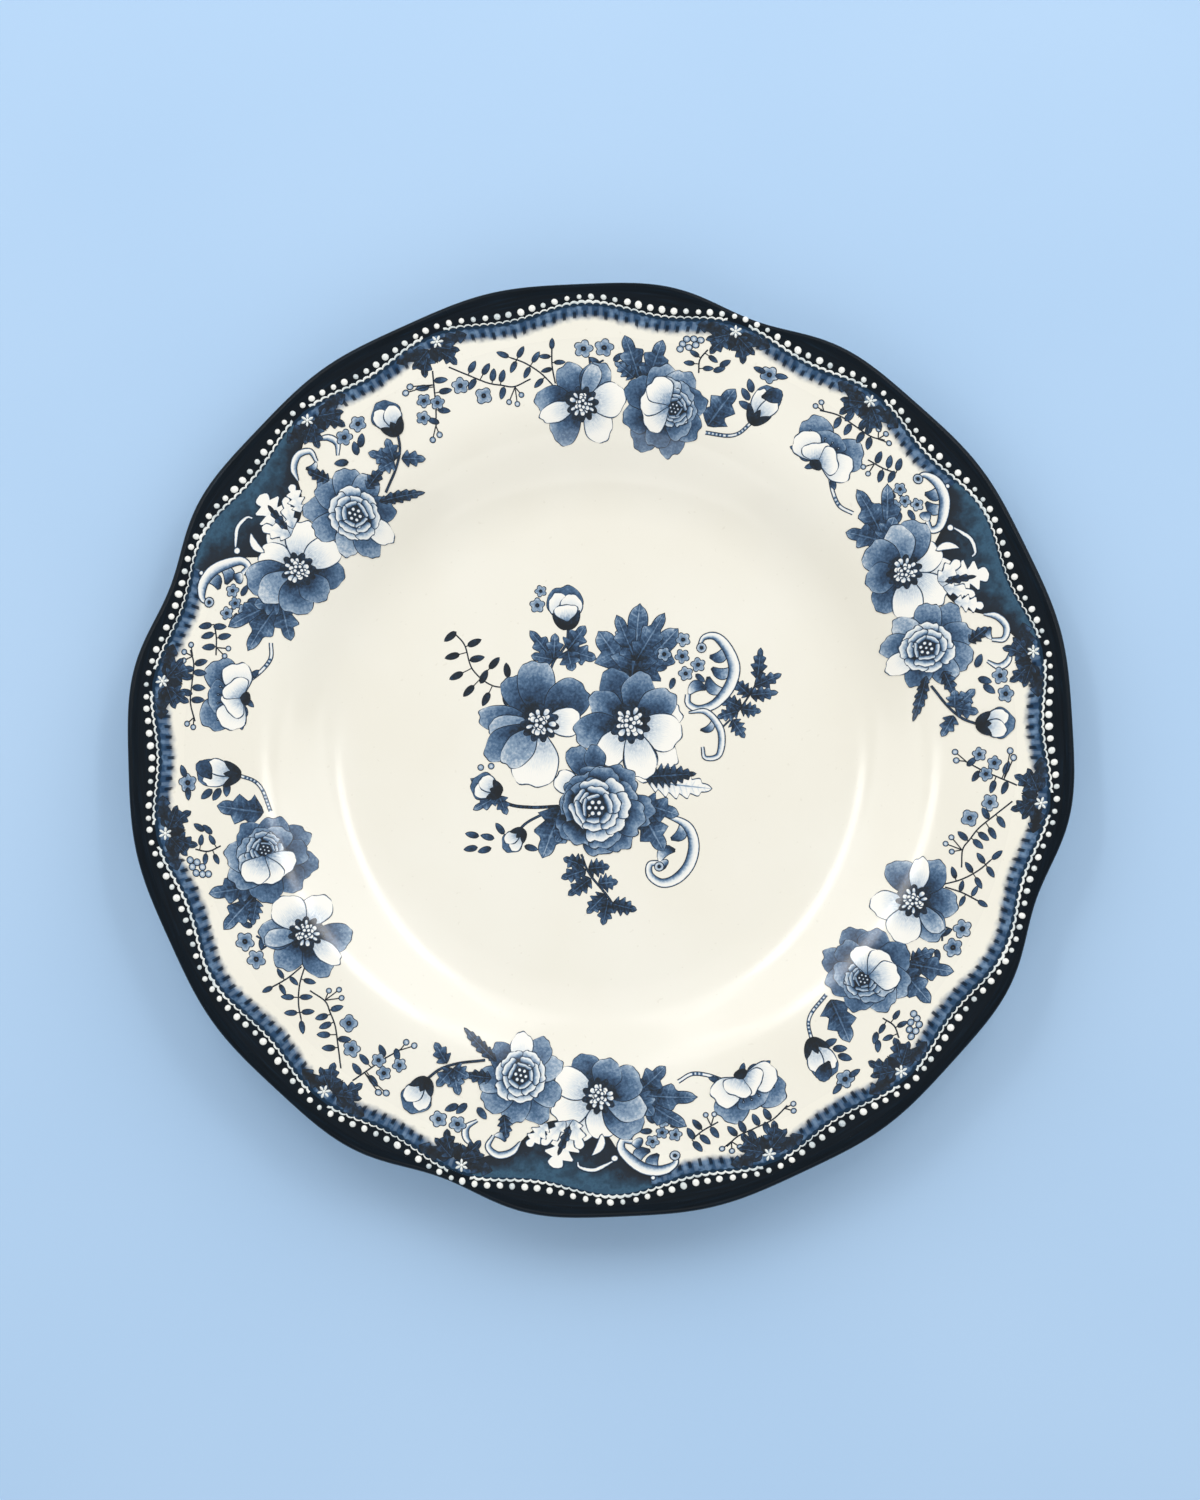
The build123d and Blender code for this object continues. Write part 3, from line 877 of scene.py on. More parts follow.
    def stamens(self, centre, radius):
        """Ragged light boss of stamens over a dark halo."""
        centre = np.array(centre, float)
        self.disc(centre, radius * 1.35, (1.0, 0.86), 11, 0.35, 0.3, rng.uniform(0, 1))
        for reach, count in ((1.02, 11), (0.66, 7)):
            for number in range(count):
                way = heading(2 * math.pi * (number + rng.uniform(-0.25, 0.25)) / count)
                tip = centre + way * radius * reach * rng.uniform(0.78, 1.12)
                width = radius * rng.uniform(0.34, 0.52)
                self.leaf(tip - way * radius * 0.56, tip, width, (0.40, -0.1), (0.6, 0.35))
        for turn in round_steps(5):
            self.disc(centre + radius * 0.26 * heading(turn), radius * 0.20, (0.0, 0.12))
        self.disc(centre, radius * 0.14, (0.9, 0.8))

    def peony(self, centre, radius, core, dark=0.0, outer=True):
        """Full round flower in rings of petals, blue outside and white within."""
        core, centre = np.array(core, float), np.array(centre, float)
        for number, (reach, count, low, high, hatch) in enumerate(PEONY_RINGS[0 if outer else 2:]):
            middle = core + (centre - core) * reach
            for petal in range(count):
                turn = 2 * math.pi * (petal + rng.uniform(-0.22, 0.22)) / count + number * 0.49
                tip = middle + heading(turn) * radius * reach * rng.uniform(0.88, 1.08)
                base = core + heading(turn) * radius * reach * 0.34
                width = 2 * math.pi * radius * reach / count * rng.uniform(0.86, 1.12)
                self.round_petal(base, tip, width, (low + dark, high + dark), 1.2, -0.04, hatch,
                                 shadow=0.42, scallop=0.10, power=0.45 if high < 0.1 else 0.8)
        self.disc(core, radius * 0.21, (0.95, 0.86), 7, 0.2)
        for turn in np.arange(6) * 1.047:
            self.disc(core + radius * 0.13 * heading(turn), radius * 0.062, (0.0, 0.1))
        self.disc(core, radius * 0.055, (0.0, 0.1))

    def poppy_side(self, middle, width, height):
        """Poppy seen from the side: blue petals behind, white ones in front."""
        x, y = middle
        half = width / 2
        for share in (-0.75, 0.75, -0.1):
            centre = (x + share * half * 0.72, y + height * 0.28)
            self.petal((x, y - height * 0.25), centre, width * 0.40, "blue", 1.2, 1.35)
        for share in np.linspace(-0.9, 0.9, 7):
            foot = (x + share * half * 0.30, y - height * 0.12)
            head = (x + share * half * 0.62, y + height * (0.20 - 0.08 * abs(share)))
            self.ribbon([foot, head], 0.34, (0.0, 0.0))
            self.disc(head, 0.42, (0.0, 0.2))
        for share in (-0.82, 0.86, -0.36, 0.38):
            centre = (x + share * half * 0.78, y - height * 0.12)
            self.petal((x, y - height * 0.50), centre, width * 0.36, "white", 1.2, 1.15)
        self.leaf((x, y - height * 0.70), (x, y - height * 0.40), width * 0.17, (0.98, 0.9))

    def bud(self, base, tip, width):
        """Half-open bud with a calyx."""
        base, tip = np.array(base, float), np.array(tip, float)
        axis = tip - base
        side = np.array([-axis[1], axis[0]])
        self.round_petal(base, tip, width, (1.0, 0.55))
        for lean, reach in ((0.22, 0.84), (-0.24, 0.76)):
            self.round_petal(base, base + axis * reach + side * lean, width * 0.62, (0.5, -0.06), 1.0, -0.04)
        for lean in (-0.34, 0.0, 0.34):
            self.leaf(base - axis * 0.12, base + axis * 0.34 + side * lean, width * 0.30, (1.0, 0.86))

    def scroll(self, path, width, feathers=(), curl=None):
        """White C-scroll with a dark outline, shaded inside its curve, with blue feathers."""
        line = smooth_path(path)
        for tip in feathers:
            root = nearest(line, tip)
            heart = np.array(tip) + (np.array(tip) - root) * 0.30
            self.leaf(root, heart, width * 1.05, (-0.05, 0.95), (0.45, 0.34), 0.26, hatch=0.3)
        self.ribbon(path, width, (0.0, 0.0), SCROLL_TAPER, hatch=0.22, pace=0.4, inner=0.52)
        if curl is not None:
            self.disc(curl, width * 0.46, (0.75, -0.05))
            self.disc(curl, width * 0.17, (0.98, 0.9))

    def build(self, name, node, place, material):
        """Mesh of the whole film, laid on the eating face."""
        design = np.concatenate(self.points)
        radius, angle = place(design)
        points = face_point(radius, angle, FIRST_LIFT + np.concatenate(self.lift))
        piece = new_piece(name, points, self.faces, node, material)
        for label, values in (("ink", self.ink), ("grain", self.grain)):
            attribute = piece.data.attributes.new(label, "FLOAT_VECTOR", "POINT")
            attribute.data.foreach_set("vector", np.concatenate(values).ravel())
        facing_down = [polygon for polygon in piece.data.polygons if polygon.normal.z < 0]
        for polygon in facing_down:
            polygon.flip()
        piece.data.update()
        slope, turn = face_profile(radius)[1], angle + PRINT_TURN
        lean = -np.sin(slope)
        upright = np.stack([lean * np.cos(turn), lean * np.sin(turn), np.cos(slope)], 1)
        piece.data.normals_split_custom_set_from_vertices(upright.tolist())


def around(centre_degrees):
    """Places of a rim design about its own centre: clockwise run and plate radius."""
    def place(design):
        return design[:, 1], math.radians(centre_degrees) - design[:, 0] / RIM_MIDDLE
    return place


def flat(design):
    """Places of the well's design: right and up from the plate's centre."""
    return np.hypot(design[:, 0], design[:, 1]), np.arctan2(design[:, 1], design[:, 0])


def off(point, angle, length):
    turn = math.radians(angle)
    return (point[0] + length * math.cos(turn), point[1] + length * math.sin(turn))


def fanned(heart, spread):
    """Petals given by direction, length, width and kind, as Film.petals takes them."""
    return [(off(heart, angle, length), width, kind) for angle, length, width, kind in spread]


def draw_rosette_leaves(film, s):
    """Pointed leaves below a rosette, and a dark leaf along the band on either side of it."""
    top = 125.2
    for side in (-1, 1):
        outer, inner = (s + side * 9.5, top + 0.6), (s + side * 1.5, top + 0.8)
        film.leaf(outer, inner, 4.0, (0.92, 0.98), (0.5, 0.5), teeth=3, bite=0.6)
        film.serrated((s + side * 0.2, top), (s + side * 4.6, top - 6.8), 4.2, (1.0, 0.86), 4, 0.08 * side)
        film.serrated((s + side * 0.8, top + 0.4), (s + side * 6.6, top - 3.2), 3.2, (1.0, 0.90), 3)
    film.leaf((s, top + 0.5), (s, top - 4.4), 1.6, (0.98, 0.9))


def draw_anemone_spray():
    film = Film(ABOVE_PANELS)
    # side poppy, vine and berries at the left
    film.ribbon([(-33.9, 102.8), (-29.5, 99.6), (-24.9, 98), (-20.3, 99.2)], 1.3, (0.05, 0.05), bars=0.75)
    film.spot_leaves([(-46.9, 103.1), (-42.7, 102.4), (-40.1, 101.4), (-31.1, 101.4)], [(-37, 105)],
                     (3.8, 1.9))
    film.poppy_side((-39.0, 108.4), 25.5, 10.4)
    film.sprig([(-47, 116.2), (-42, 118), (-37, 118.3), (-32, 118.8), (-28.5, 120.6)],
               [(-39.6, 119.6), (-41.2, 116), (-37.9, 116.2), (-35.6, 120), (-33.9, 116.6), (-31.1, 116.9)])
    film.berries([(-48.6, 116.6), (-47.8, 118.4)], stalk=(-46, 116.6))
    film.berries([(-31.6, 121.8), (-29.4, 122.2), (-27.2, 120.8)], stalk=(-30, 119.6))
    film.sprig([(-28.3, 113.2), (-23.7, 114.4), (-20.3, 116.1)],
               [(-26.6, 115.8), (-23.7, 117), (-21.4, 118.4), (-20.4, 114.4), (-22.6, 112.3)])
    film.berries([(-27.9, 110.8), (-25.6, 110.3)], stalk=(-26.2, 113.6))
    for s, r, size in ((-16.3, 113.8, 2.0), (-12.9, 112.6, 1.9), (-10.0, 114.7, 2.0), (-13.6, 109.6, 1.9)):
        film.blossom((s, r), size)
    film.spot_leaves([(-8.6, 111.6), (-10.2, 108.2), (-17, 110.8)], [(-13, 112)])
    film.scroll([(-15.6, 120.2), (-14.7, 122), (-11.3, 123.2), (-7.3, 122.2), (-4, 119.4), (-1.6, 116.1),
                 (-2.2, 113.6), (-4.6, 114.2)],
                3.2, [(-10.6, 119.2), (-8.2, 117.6), (-6.3, 115.6)], (-15.2, 119.6))
    film.disc((-9.0, 124.9), 0.8, (0.0, 0.1))
    # lobed leaf under the anemone
    film.lobed((-6.9, 100.8), [(-19.8, 112.2), (-24.8, 104.8), (-17.5, 94.1), (-11.3, 107.5)], 6.6)
    # anemone
    heart = (4.2, 100.8)
    film.petals(heart, (
        ((10.7, 110.4), 9.0, "white"), ((3.4, 109.4), 8.5, "white"), ((-3.6, 108.6), 9.5, "blue"),
        ((13.8, 105.0), 9.0, "white"), ((-5.4, 104.4), 8.5, "pale"), ((9.2, 92.6), 9.5, "dark"),
        ((14.0, 97.2), 8.6, "white"), ((-5.0, 97.0), 9.5, "blue"), ((1.4, 93.2), 9.0, "blue"),
    ), 1.12, reach=1.42)
    film.stamens(heart, 4.0)
    # white acanthus over the dark panel
    film.ribbon([(0, 119.0), (2.8, 120.6), (5.7, 121.9), (9, 121.2), (9.6, 119.8)], 1.5, (0, 0),
                (0.5, 1, 1, 0.6))
    film.disc((0.2, 118.6), 1.1, (0.0, 0.0))
    film.leaf((3.4, 111.5), (6.4, 118.0), 2.6, (0.0, 0.0), bend=0.15)
    for base, tip, width, teeth, bite in (
        ((11.5, 107.8), (15.6, 122.0), 8.5, 5, 0.75),
        ((11.5, 107.8), (9.0, 116.2), 4.6, 3, 0.6),
        ((13.5, 108.4), (19.4, 116.0), 4.2, 3, 0.6),
    ):
        film.leaf(base, tip, width, (0.3, -0.1), (0.5, 0.55), 0, teeth, bite, 0.25)
    film.leaf((12.4, 109.6), (14.8, 118.4), 2.4, (0.9, 0.9), teeth=4)
    film.leaf((18.6, 109.6), (23.0, 117.0), 4.6, (0.25, -0.1), (0.5, 0.55), 0, 4, 0.7, 0.25)
    # peony
    core = (29.0, 97.6)
    film.petals(core, (
        ((21.5, 107.4), 8.0, "blue"), ((28.3, 109.0), 8.0, "blue"), ((35.2, 107.0), 8.0, "blue"),
        ((38.8, 101.6), 7.5, "blue"), ((38.2, 92.6), 7.5, "dark"), ((18.4, 101.6), 7.5, "blue"),
        ((18.9, 93.0), 7.0, "pale"), ((23.9, 88.0), 7.5, "blue"), ((31.6, 87.4), 7.0, "white"),
    ), 1.14, 1.2, 1.24)
    film.leaf((37.6, 95.6), (52.0, 89.9), 3.6, (1.0, 0.8), teeth=6, bite=0.4, vein=-0.3)
    film.leaf((37.4, 100.6), (45.2, 102.2), 4.2, (0.95, 0.8), teeth=4, vein=-0.3)
    film.peony(core, 12.4, core, outer=False)
    # scrolls, blossoms and bud at the right
    film.scroll([(24.9, 116.1), (26.6, 119.5), (29.9, 121.2), (32.8, 119.5), (32.2, 116.1)], 2.2,
                [(29.4, 116.6)])
    film.scroll([(36.2, 120.6), (38.8, 119.0), (39.6, 116.1), (37.5, 113.3)], 2.0)
    film.leaf((31.0, 109.6), (28.6, 116.0), 3.8, (1.0, 0.85), teeth=4, vein=-0.3)
    film.blossom((42.1, 116.1), 2.5)
    film.blossom((47.2, 116.8), 2.5)
    film.spot_leaves([(45.2, 112.4), (36.9, 111.0), (42.6, 111.6)], [(41, 108)], (4.2, 2.2))
    film.ribbon([(55.0, 108.4), (52.6, 103.6), (48, 99.7), (41.2, 96.3)], 0.8, (0.8, 0.8))
    film.lobed((49.4, 102.0), [(44.6, 108.4), (51.4, 108.6), (43.8, 102.6)], 4.4)
    film.serrated((51.6, 101.4), (58.0, 97.6), 4.0)
    film.bud((54.8, 108.6), (54.9, 118.6), 8.6)
    for s in (-37.6, 39.6):
        draw_rosette_leaves(film, s)
    return film


def draw_peony_spray():
    film = Film(ABOVE_PANELS)
    # two vines from the rosette on the left
    film.sprig([(-41.6, 119.4), (-43.2, 114.4), (-45.0, 109.3), (-47.6, 104.0)],
               [(-46.0, 116.1), (-40.6, 116.0), (-40.6, 112.6), (-43.2, 107.6), (-47.4, 106.2)])
    for s, r in ((-47.2, 112.6), (-49.6, 108.3), (-44.0, 110.4)):
        film.blossom((s, r), 2.2)
    film.berries([(-50.6, 117.0), (-48.8, 118.0)], 1.0, stalk=(-43, 115.6))
    film.berries([(-50.2, 101.4), (-47.6, 101.8)], 1.0, stalk=(-47.4, 104.6))
    film.sprig([(-37.3, 118.6), (-33.6, 114.9), (-28.8, 110.7), (-24.9, 108.8), (-21.5, 107.6),
                (-16.5, 108.8)],
               [(-31.4, 116.4), (-28.0, 114.6), (-33.0, 111.6), (-26.6, 112.4), (-24.2, 111.4),
                (-25.4, 106.6)])
    film.blossom((-36.2, 112.4), 2.6)
    film.blossom((-30.9, 107.4), 2.7, 4)
    film.berries([(-20.1, 104.8), (-21.9, 102.5), (-24.2, 103.6)], 0.9, stalk=(-21.4, 107.4))
    film.sprig([(-10.4, 106.0), (-13.4, 110.0), (-17.2, 113.6), (-20.8, 116.0)],
               [(-22.6, 117.4), (-17.8, 117.0), (-20.6, 113.2), (-14.0, 114.8), (-17.2, 110.8),
                (-14.4, 107.2)], (3.8, 1.7))
    film.sprig([(-9.6, 106.4), (-9.9, 111.4), (-9.4, 116.6)],
               [(-9.2, 118), (-11.6, 114.6), (-7.7, 112.4), (-11.6, 110.6)], (3.4, 1.5))
    film.ribbon([(0.6, 113.4), (1.2, 110.8), (4.6, 112.4)], 0.6)
    film.spot_leaves([(2.0, 112.2), (8.6, 113.4), (9.6, 111.4)], [(5, 110)])
    film.blossom((-0.9, 115.8), 2.8)
    film.blossom((4.7, 116.0), 2.8)
    # dark leaves between the two big flowers
    film.serrated((15.0, 107.6), (10.0, 119.8), 6.0)
    film.serrated((17.6, 107.0), (20.1, 119.6), 6.2)
    film.serrated((13.6, 107.6), (7.6, 112.0), 3.6, teeth=4)
    film.serrated((38.4, 98.2), (42.6, 111.0), 7.6)
    # anemone
    heart = (-2.0, 99.9)
    film.petals(heart, (
        ((-4.9, 107.4), 8.5, "blue"), ((2.4, 107.2), 8.5, "blue"), ((-11.2, 101.4), 8.5, "blue"),
        ((-8.2, 93.8), 9.0, "blue"), ((1.0, 107.0), 5.2, "pale"), ((-10.8, 98.2), 5.5, "white"),
        ((3.2, 93.6), 9.0, "white"), ((6.6, 101.0), 9.5, "white"),
    ), 1.10, reach=1.58)
    film.stamens(heart, 3.9)
    # peony
    heart = (23.6, 99.4)
    film.petals(heart, fanned(heart, (
        (236, 13.5, 10, "dark"), (300, 13.5, 10, "dark"), (198, 13, 10, "dark"), (150, 13.5, 10, "dark"),
        (102, 13.5, 10, "blue"), (66, 13.5, 10, "blue"), (24, 13.5, 10, "dark"), (-18, 13.5, 10, "dark"),
        (268, 10.5, 9.4, "dark"), (330, 10.5, 8.6, "blue"), (12, 10.5, 8.4, "blue"), (52, 10.5, 8.4, "blue"),
        (88, 10, 8, "pale"),
    )), ruffle=1.4)
    film.peony((26.4, 100.6), 9.0, (26.8, 100.6), 0.12, False)
    front = (25.4, 101.0)
    white = ((222, 9.5, 9.4, "white"), (176, 9.4, 8.6, "white"), (134, 9.4, 9.0, "white"))
    film.petals(front, fanned(front, white), ruffle=1.4)
    # rosebud and beaded stem
    film.ribbon([(50.6, 103.6), (48.6, 99.6), (45.2, 97.5), (38.4, 96.3)], 1.2, (0.05, 0.05), bars=0.75)
    film.spot_leaves([(46.2, 113.4), (45.8, 110.6), (46.8, 107.6)], [(50.4, 107)], (4.2, 2.2))
    film.bud((51.0, 104.4), (52.5, 115.6), 8.0)
    film.round_petal((50.2, 111.6), (55.4, 114.8), 4.6, (1.0, 0.7))
    # grapes and sprig above the peony
    film.sprig([(31.4, 112.2), (30.8, 116.0), (32.2, 119.4)],
               [(29.0, 117.4), (34.2, 117.2), (28.2, 114.4), (33.6, 114.2)], (3.2, 1.6))
    film.spot_leaves([(36.6, 114.8), (37.6, 117.0)], [(34, 113)])
    film.berries([(25.4, 119.4), (27.2, 118.8), (28.8, 119.9), (26.2, 121.0), (28.0, 121.5), (25.0, 117.8),
                  (29.8, 121.6)], 1.05)
    film.blossom((49.7, 118.4), 2.7)
    film.spot_leaves([(46.8, 118.6), (52.8, 119.4)], [(49.7, 118.4)])
    for s in (-39.6, 37.6):
        draw_rosette_leaves(film, s)
    return film


def draw_panel():
    """Dark field that hangs from the rope line behind the flowers of an anemone spray."""
    film = Film()
    left, right = -8.5, 34.5
    low_s = (left, -5.6, -2.8, 0.0, 2.8, 8.5, 17.0, 22.6, 27.1, 31.6, right)
    low_r = (124.2, 122.6, 120.1, 115.0, 111.0, 108.6, 108.6, 112.6, 119.3, 121.6, 123.6)
    s = np.linspace(left, right, 60)
    fine = smooth_path(list(zip(low_s, low_r)))
    bottom = np.interp(s, fine[:, 0], fine[:, 1])
    angle = math.radians(ANEMONE_SPRAYS[0]) - s / RIM_MIDDLE
    top = ROPE_LINE + ROPE_SWING * border_wave(angle) - 0.5
    share = np.linspace(0, 1, 14)[:, None]
    radii = bottom + (top - bottom) * share
    grid = np.stack([np.broadcast_to(s, radii.shape), radii], -1)
    film.sheet(grid, share, np.minimum(radii - bottom, 3.0), radii, s)
    return film


def draw_bouquet():
    film = Film()
    # sprigs, buds and leaves that stick out
    film.sprig([(-23.0, 19.0), (-30.8, 18.6), (-37.0, 23.4), (-39.4, 30.6), (-42.4, 34.2)],
               [(-43.6, 33.2), (-36.6, 31.4), (-43.0, 27.4), (-35.8, 26.7), (-30.8, 25.4), (-41.8, 21.6),
                (-33.8, 21.4), (-27.1, 23.3), (-38.2, 17.2), (-33.2, 14.8), (-27.4, 14.9)],
               (4.6, 2.1), (0.95, 0.85))
    film.ribbon([(-9.4, 37.4), (-10.0, 31), (-13.7, 25.6), (-15.4, 19.6)], 0.8)
    film.lobed((-13.6, 26.4), [(-20.6, 35.0), (-13.2, 34.2), (-20.2, 27.6)], 4.6)
    film.lobed((-9.6, 29.2), [(-4.4, 36.4), (-1.2, 26.6), (-8.2, 23.0)], 5.4)
    film.bud((-9.6, 36.6), (-11.0, 48.2), 11.0)
    film.petal((-9.6, 37.4), (-10.0, 40.2), 7.5, "white", 1.2, 1.9)
    film.blossom((-18.4, 42.4), 2.4)
    film.blossom((-17.4, 46.6), 1.9)
    film.lobed((9.0, 21.0), [(-0.7, 34.8), (22.5, 35.6), (11.4, 43.0)], 10.5)
    film.lobed((10.2, 26.0), [(4.6, 39.6), (18.6, 40.2)], 6.0)
    for x, y in ((23.9, 32.3), (18.4, 28.0), (23.6, 27.4), (28.2, 24.9), (24.6, 22.3)):
        film.blossom((x, y), 2.3)
    film.spot_leaves([(17.6, 23.8), (20.7, 19.4), (28.8, 21.0)], [(23, 26)])
    film.frond([(34.6, 6.0), (40.0, 11.6), (45.2, 19.8), (46.4, 24.5)], 0.6, 3.8, (
        ((45.4, 20.6), (46.4, 30.0)), ((44.4, 18.6), (52.4, 22.2)), ((43.2, 16.0), (51.4, 16.8)),
        ((43.2, 15.8), (38.4, 20.4)), ((40.8, 12.4), (33.8, 15.6)), ((39.8, 11.4), (33.6, 9.4)),
        ((40.4, 12.0), (46.4, 11.2)), ((38.0, 8.8), (41.6, 3.4)),
    ))
    film.scroll([(28.6, 30.6), (30.0, 33.0), (33.4, 33.2), (36.7, 29.7), (38.7, 24.2), (37.4, 18.7),
                 (33.3, 13.6), (28.6, 11.9), (25.4, 13.4), (25.2, 16.2)],
                3.4, [(32.6, 27.6), (33.4, 23.8), (32.0, 20.4), (29.4, 17.8)], (29.2, 29.9))
    film.scroll([(25.4, 10.9), (30.6, 11.0), (34.7, 5.6), (34.2, -1.4), (30.2, -2.4), (29.4, 0.8)],
                2.2, [(29.6, 6.4)])
    film.leaf((13.6, -9.4), (32.2, -11.4), 7.6, (0.12, 0.02), teeth=6, vein=0.30, hatch=0.2)
    film.scroll([(18.6, -19.0), (24.6, -21.9), (26.8, -27.1), (25.6, -33.2), (21.9, -37.5), (17.6, -38.8),
                 (14.2, -36.6), (14.1, -33.4), (16.7, -32.9)],
                3.3, [(21.0, -25.2), (20.4, -29.8), (18.2, -34.2)], (16.8, -34.0))
    film.ribbon([(-32.0, -11.8), (-26.7, -15.8), (-20, -16.8), (-12.0, -16.5)], 1.0, (0.7, 0.8), bars=0.2)
    film.lobed((-29.4, -13.4), [(-36.8, -17.6), (-27.0, -19.0), (-37.6, -8.4)], 3.6)
    film.bud((-29.4, -12.4), (-37.2, -9.4), 8.4)
    film.berries([(-34.6, -5.2), (-31.6, -4.8)], 1.0)
    film.ribbon([(-25.4, -26.4), (-21.3, -21.3), (-12.2, -16.8)], 0.8)
    film.spot_leaves([(-37.4, -28.8), (-33.4, -29.2), (-32.6, -25.4), (-37.0, -24.8), (-29.0, -23.0),
                      (-20.0, -28.6)], [(-26, -27)], (4.2, 2.0))
    film.bud((-22.6, -23.8), (-27.6, -29.4), 6.4)
    film.serrated((-11.2, -16.4), (-16.8, -31.6), 8.6)
    film.serrated((-9.6, -22.0), (-13.0, -27.0), 4.6)
    film.serrated((11.6, -17.6), (18.2, -29.6), 7.8)
    film.serrated((11.6, -15.6), (22.6, -19.0), 6.6)
    film.frond([(-5.6, -30.4), (-3.3, -36), (1.6, -42.1), (4.2, -46.0)], 0.7, 4.4, (
        ((-4.6, -33.8), (-10.8, -31.6)), ((-4.2, -35.0), (-11.4, -37.4)), ((-2.8, -37.4), (-9.4, -42.4)),
        ((-3.6, -34.6), (2.6, -34.0)), ((-0.8, -39.0), (5.0, -38.4)), ((1.4, -42.0), (-4.0, -47.6)),
        ((2.2, -43.4), (0.6, -51.0)), ((3.2, -44.8), (10.4, -46.6)),
    ))
    # two anemones
    left, right = (-17.6, 7.8), (8.4, 7.8)
    film.petals(left, fanned(left, (
        (126, 16.5, 9.0, "dark"), (95, 18.5, 11.5, "blue"), (40, 17, 12.5, "dark"), (174, 18, 8.5, "blue"),
        (186, 15, 7, "pale"), (212, 18.5, 10, "blue"), (263, 19, 14.5, "white"), (2, 12, 9, "white"),
        (232, 16, 9, "pale"),
    )))
    film.petals(right, fanned(right, (
        (-42, 18, 9, "white"), (12, 15.5, 9.5, "white"), (110, 17, 10, "dark"), (75, 15.5, 10, "blue"),
        (33, 15.5, 10, "blue"), (144, 14, 9, "blue"), (193, 16.5, 11, "blue"), (-16, 15.5, 11.5, "white"),
        (236, 14.5, 9.5, "white"), (286, 18, 10, "white"),
    )))
    film.serrated((12.6, -8.0), (27.6, -7.0), 5.6, (1.0, 0.9), 8)
    film.petal(right, off(right, 286, 17), 9.6, "white")
    film.stamens(left, 4.3)
    film.stamens(right, 4.6)
    # peony
    film.round_petal((-3.0, -9.0), (-8.4, 0.8), 7.2, (1.0, 0.42))
    film.round_petal((-0.6, -8.0), (-2.4, 1.4), 6.4, (1.0, 0.50))
    film.round_petal((-6.0, -12.0), (-13.0, -7.6), 7.4, (0.5, -0.06))
    film.peony((0.9, -17.6), 14.2, (-1.4, -17.0))
    return film


def make_films():
    ink, field = make_ink(), make_panel_ink()
    for name, film, node, centres, material in (
        ("anemone_spray", draw_anemone_spray(), "anemone_spray_print", ANEMONE_SPRAYS, ink),
        ("peony_spray", draw_peony_spray(), "peony_spray_print", PEONY_SPRAYS, ink),
        ("panel", draw_panel(), "panel_print", ANEMONE_SPRAYS, field),
    ):
        for number, centre in enumerate(centres, 1):
            film.build(f"{name}_{number}", node, around(centre), material)
    draw_bouquet().build("centre_bouquet", "centre_bouquet_print", flat, ink)


make_films()

# ---- studio, in metres and watts ----
FLOOR_SIZE = 12.0
STRIP_OFFSET, STRIP_HEIGHT, STRIP_WIDTH = 0.40, 1.0, 0.14
NEAR_STRIP_POWER, FAR_STRIP_POWER = 1.45, 0.42
SIDE_FILL_POWER, FRONT_FILL_POWER = 15.2, 7.6
WORLD_STRENGTH = 0.54
CAMERA_DISTANCE = 1.25
CAMERA_ELEVATION = math.radians(81.0)
FRAME_HEIGHT = 0.4286     # what the whole frame's height covers at the plate
AIM = (-0.0002, -0.0021)  # where the camera looks, counted from the plate's centre as in the picture
AIM_HEIGHT = 0.9          # the height of that place, as a share of the plate's


def turned(x, y, z):
    """Place given in the picture's directions, in the plate's frame."""
    cosine, sine = math.cos(PRINT_TURN), math.sin(PRINT_TURN)
    return Vector((x * cosine - y * sine, x * sine + y * cosine, z))


def make_floor():
    bpy.ops.mesh.primitive_plane_add(size=FLOOR_SIZE, location=(0, 0, cad_low[2]))
    floor = bpy.context.object
    floor.name = "studio_floor"
    graph = Graph("studio_floor")
    colour = graph.ramp(graph.noise(5.0, 2.0), [(0.3, "AECDEC"), (0.7, "B5D2EF")])
    graph.feed(graph.shader.inputs["Base Color"], colour)
    graph.shader.inputs["Roughness"].default_value = 0.9
    floor.data.materials.append(graph.material)


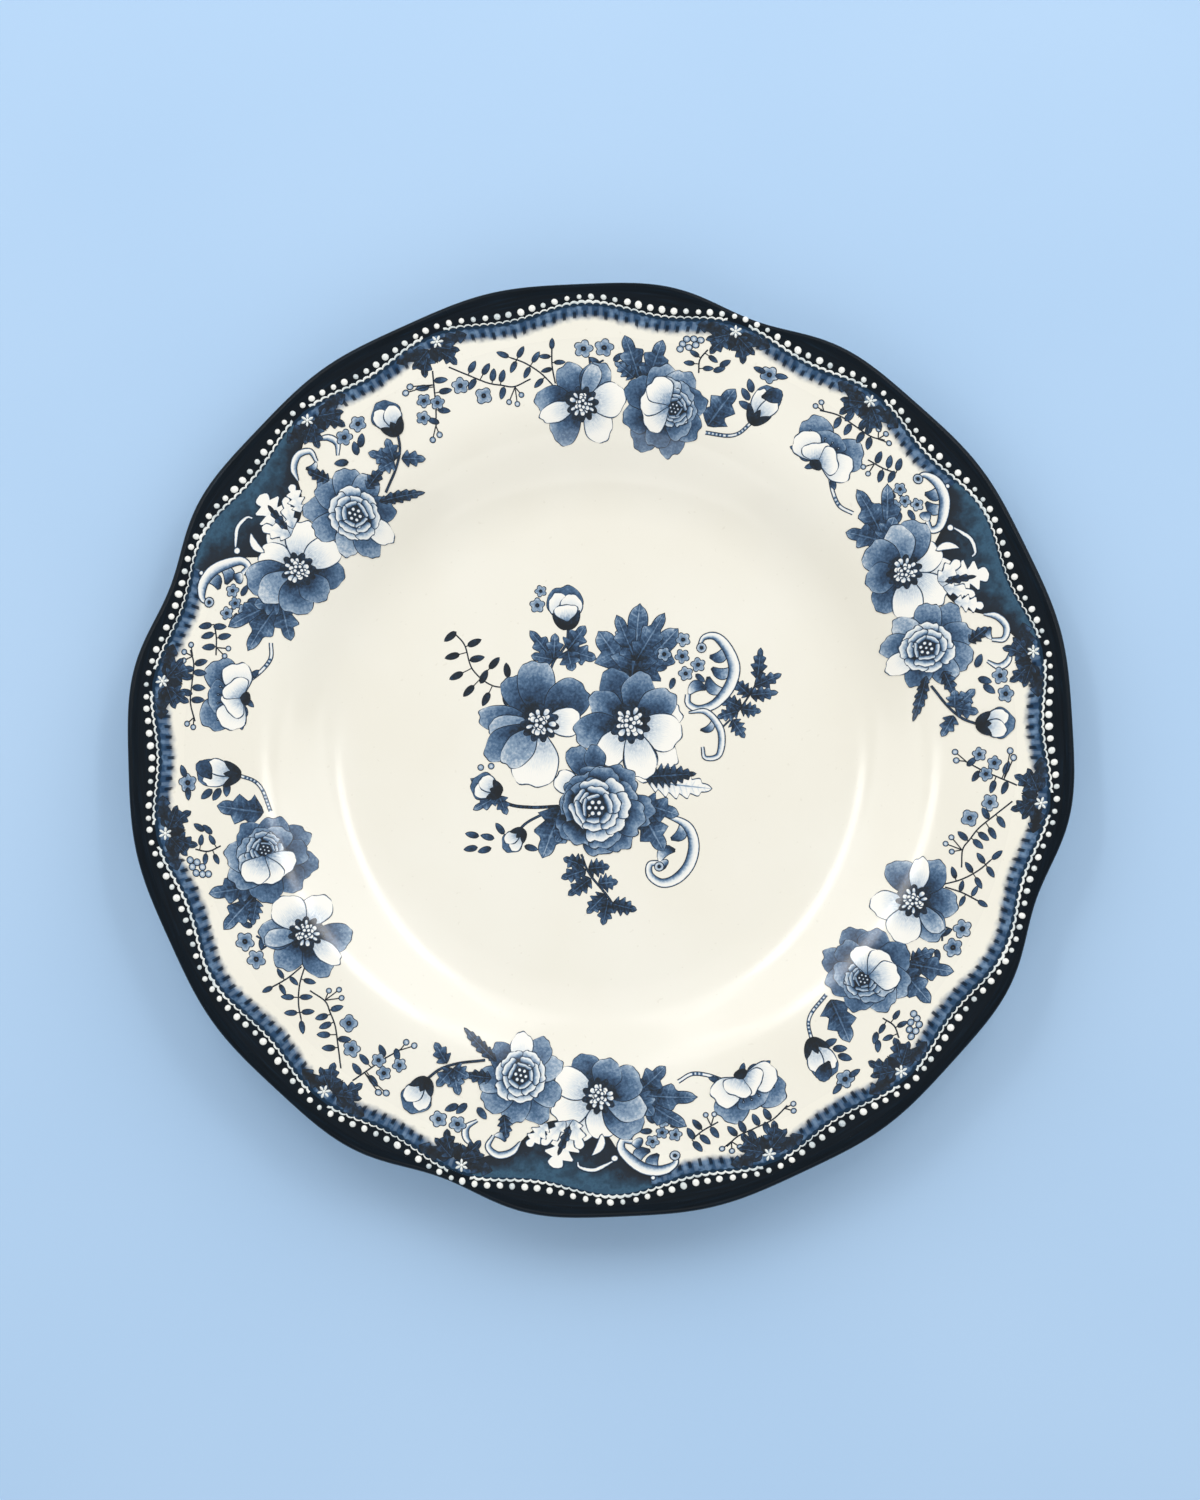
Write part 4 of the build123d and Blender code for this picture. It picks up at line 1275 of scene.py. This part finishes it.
def make_light(name, place, target, width, length, power):
    data = bpy.data.lights.new(name, "AREA")
    data.shape = "RECTANGLE"
    data.size, data.size_y = width, length
    data.energy = power
    light = bpy.data.objects.new(name, data)
    bpy.context.scene.collection.objects.link(light)
    light.location = place
    light.rotation_mode = "QUATERNION"
    light.rotation_quaternion = (target - place).to_track_quat("-Z", "Y")
    return light


def make_strip(name, side, near, far, power):
    """Soft box above and beside the plate, long in the picture's upward direction."""
    place = turned(side * STRIP_OFFSET, (near + far) / 2, STRIP_HEIGHT)
    light = make_light(name, place, place - Vector((0, 0, 1)), STRIP_WIDTH, far - near, power)
    light.rotation_mode = "XYZ"
    light.rotation_euler = (0, 0, PRINT_TURN)


def make_studio():
    world = bpy.data.worlds.new("studio")
    bpy.context.scene.world = world
    world.use_nodes = True
    background = world.node_tree.nodes["Background"]
    background.inputs["Color"].default_value = linear("F4F7FA")
    background.inputs["Strength"].default_value = WORLD_STRENGTH
    plate = Vector((0, 0, 0))
    for side, name in ((-1, "left"), (1, "right")):
        make_strip(f"strip_{name}", side, 0.20, 0.78, NEAR_STRIP_POWER)
        make_strip(f"strip_{name}_far", side, 0.80, 1.50, FAR_STRIP_POWER)
        make_light(f"fill_{name}", turned(side * 1.3, 1.3, 1.2), plate, 2.4, 1.8, SIDE_FILL_POWER)
    make_light("fill_front", turned(0, -1.4, 1.4), plate, 1.8, 1.4, FRONT_FILL_POWER)
    bpy.context.scene.view_settings.view_transform = "Standard"


def make_camera():
    data = bpy.data.cameras.new("camera")
    camera = bpy.data.objects.new("camera", data)
    bpy.context.scene.collection.objects.link(camera)
    data.lens = data.sensor_width * CAMERA_DISTANCE / FRAME_HEIGHT
    target = turned(*AIM, cad_high[2] * AIM_HEIGHT)
    back = turned(0, -math.cos(CAMERA_ELEVATION), math.sin(CAMERA_ELEVATION))
    camera.location = target + back * CAMERA_DISTANCE
    camera.rotation_mode = "QUATERNION"
    camera.rotation_quaternion = (-back).to_track_quat("-Z", "Y")
    bpy.context.scene.camera = camera


make_floor()
make_studio()
make_camera()
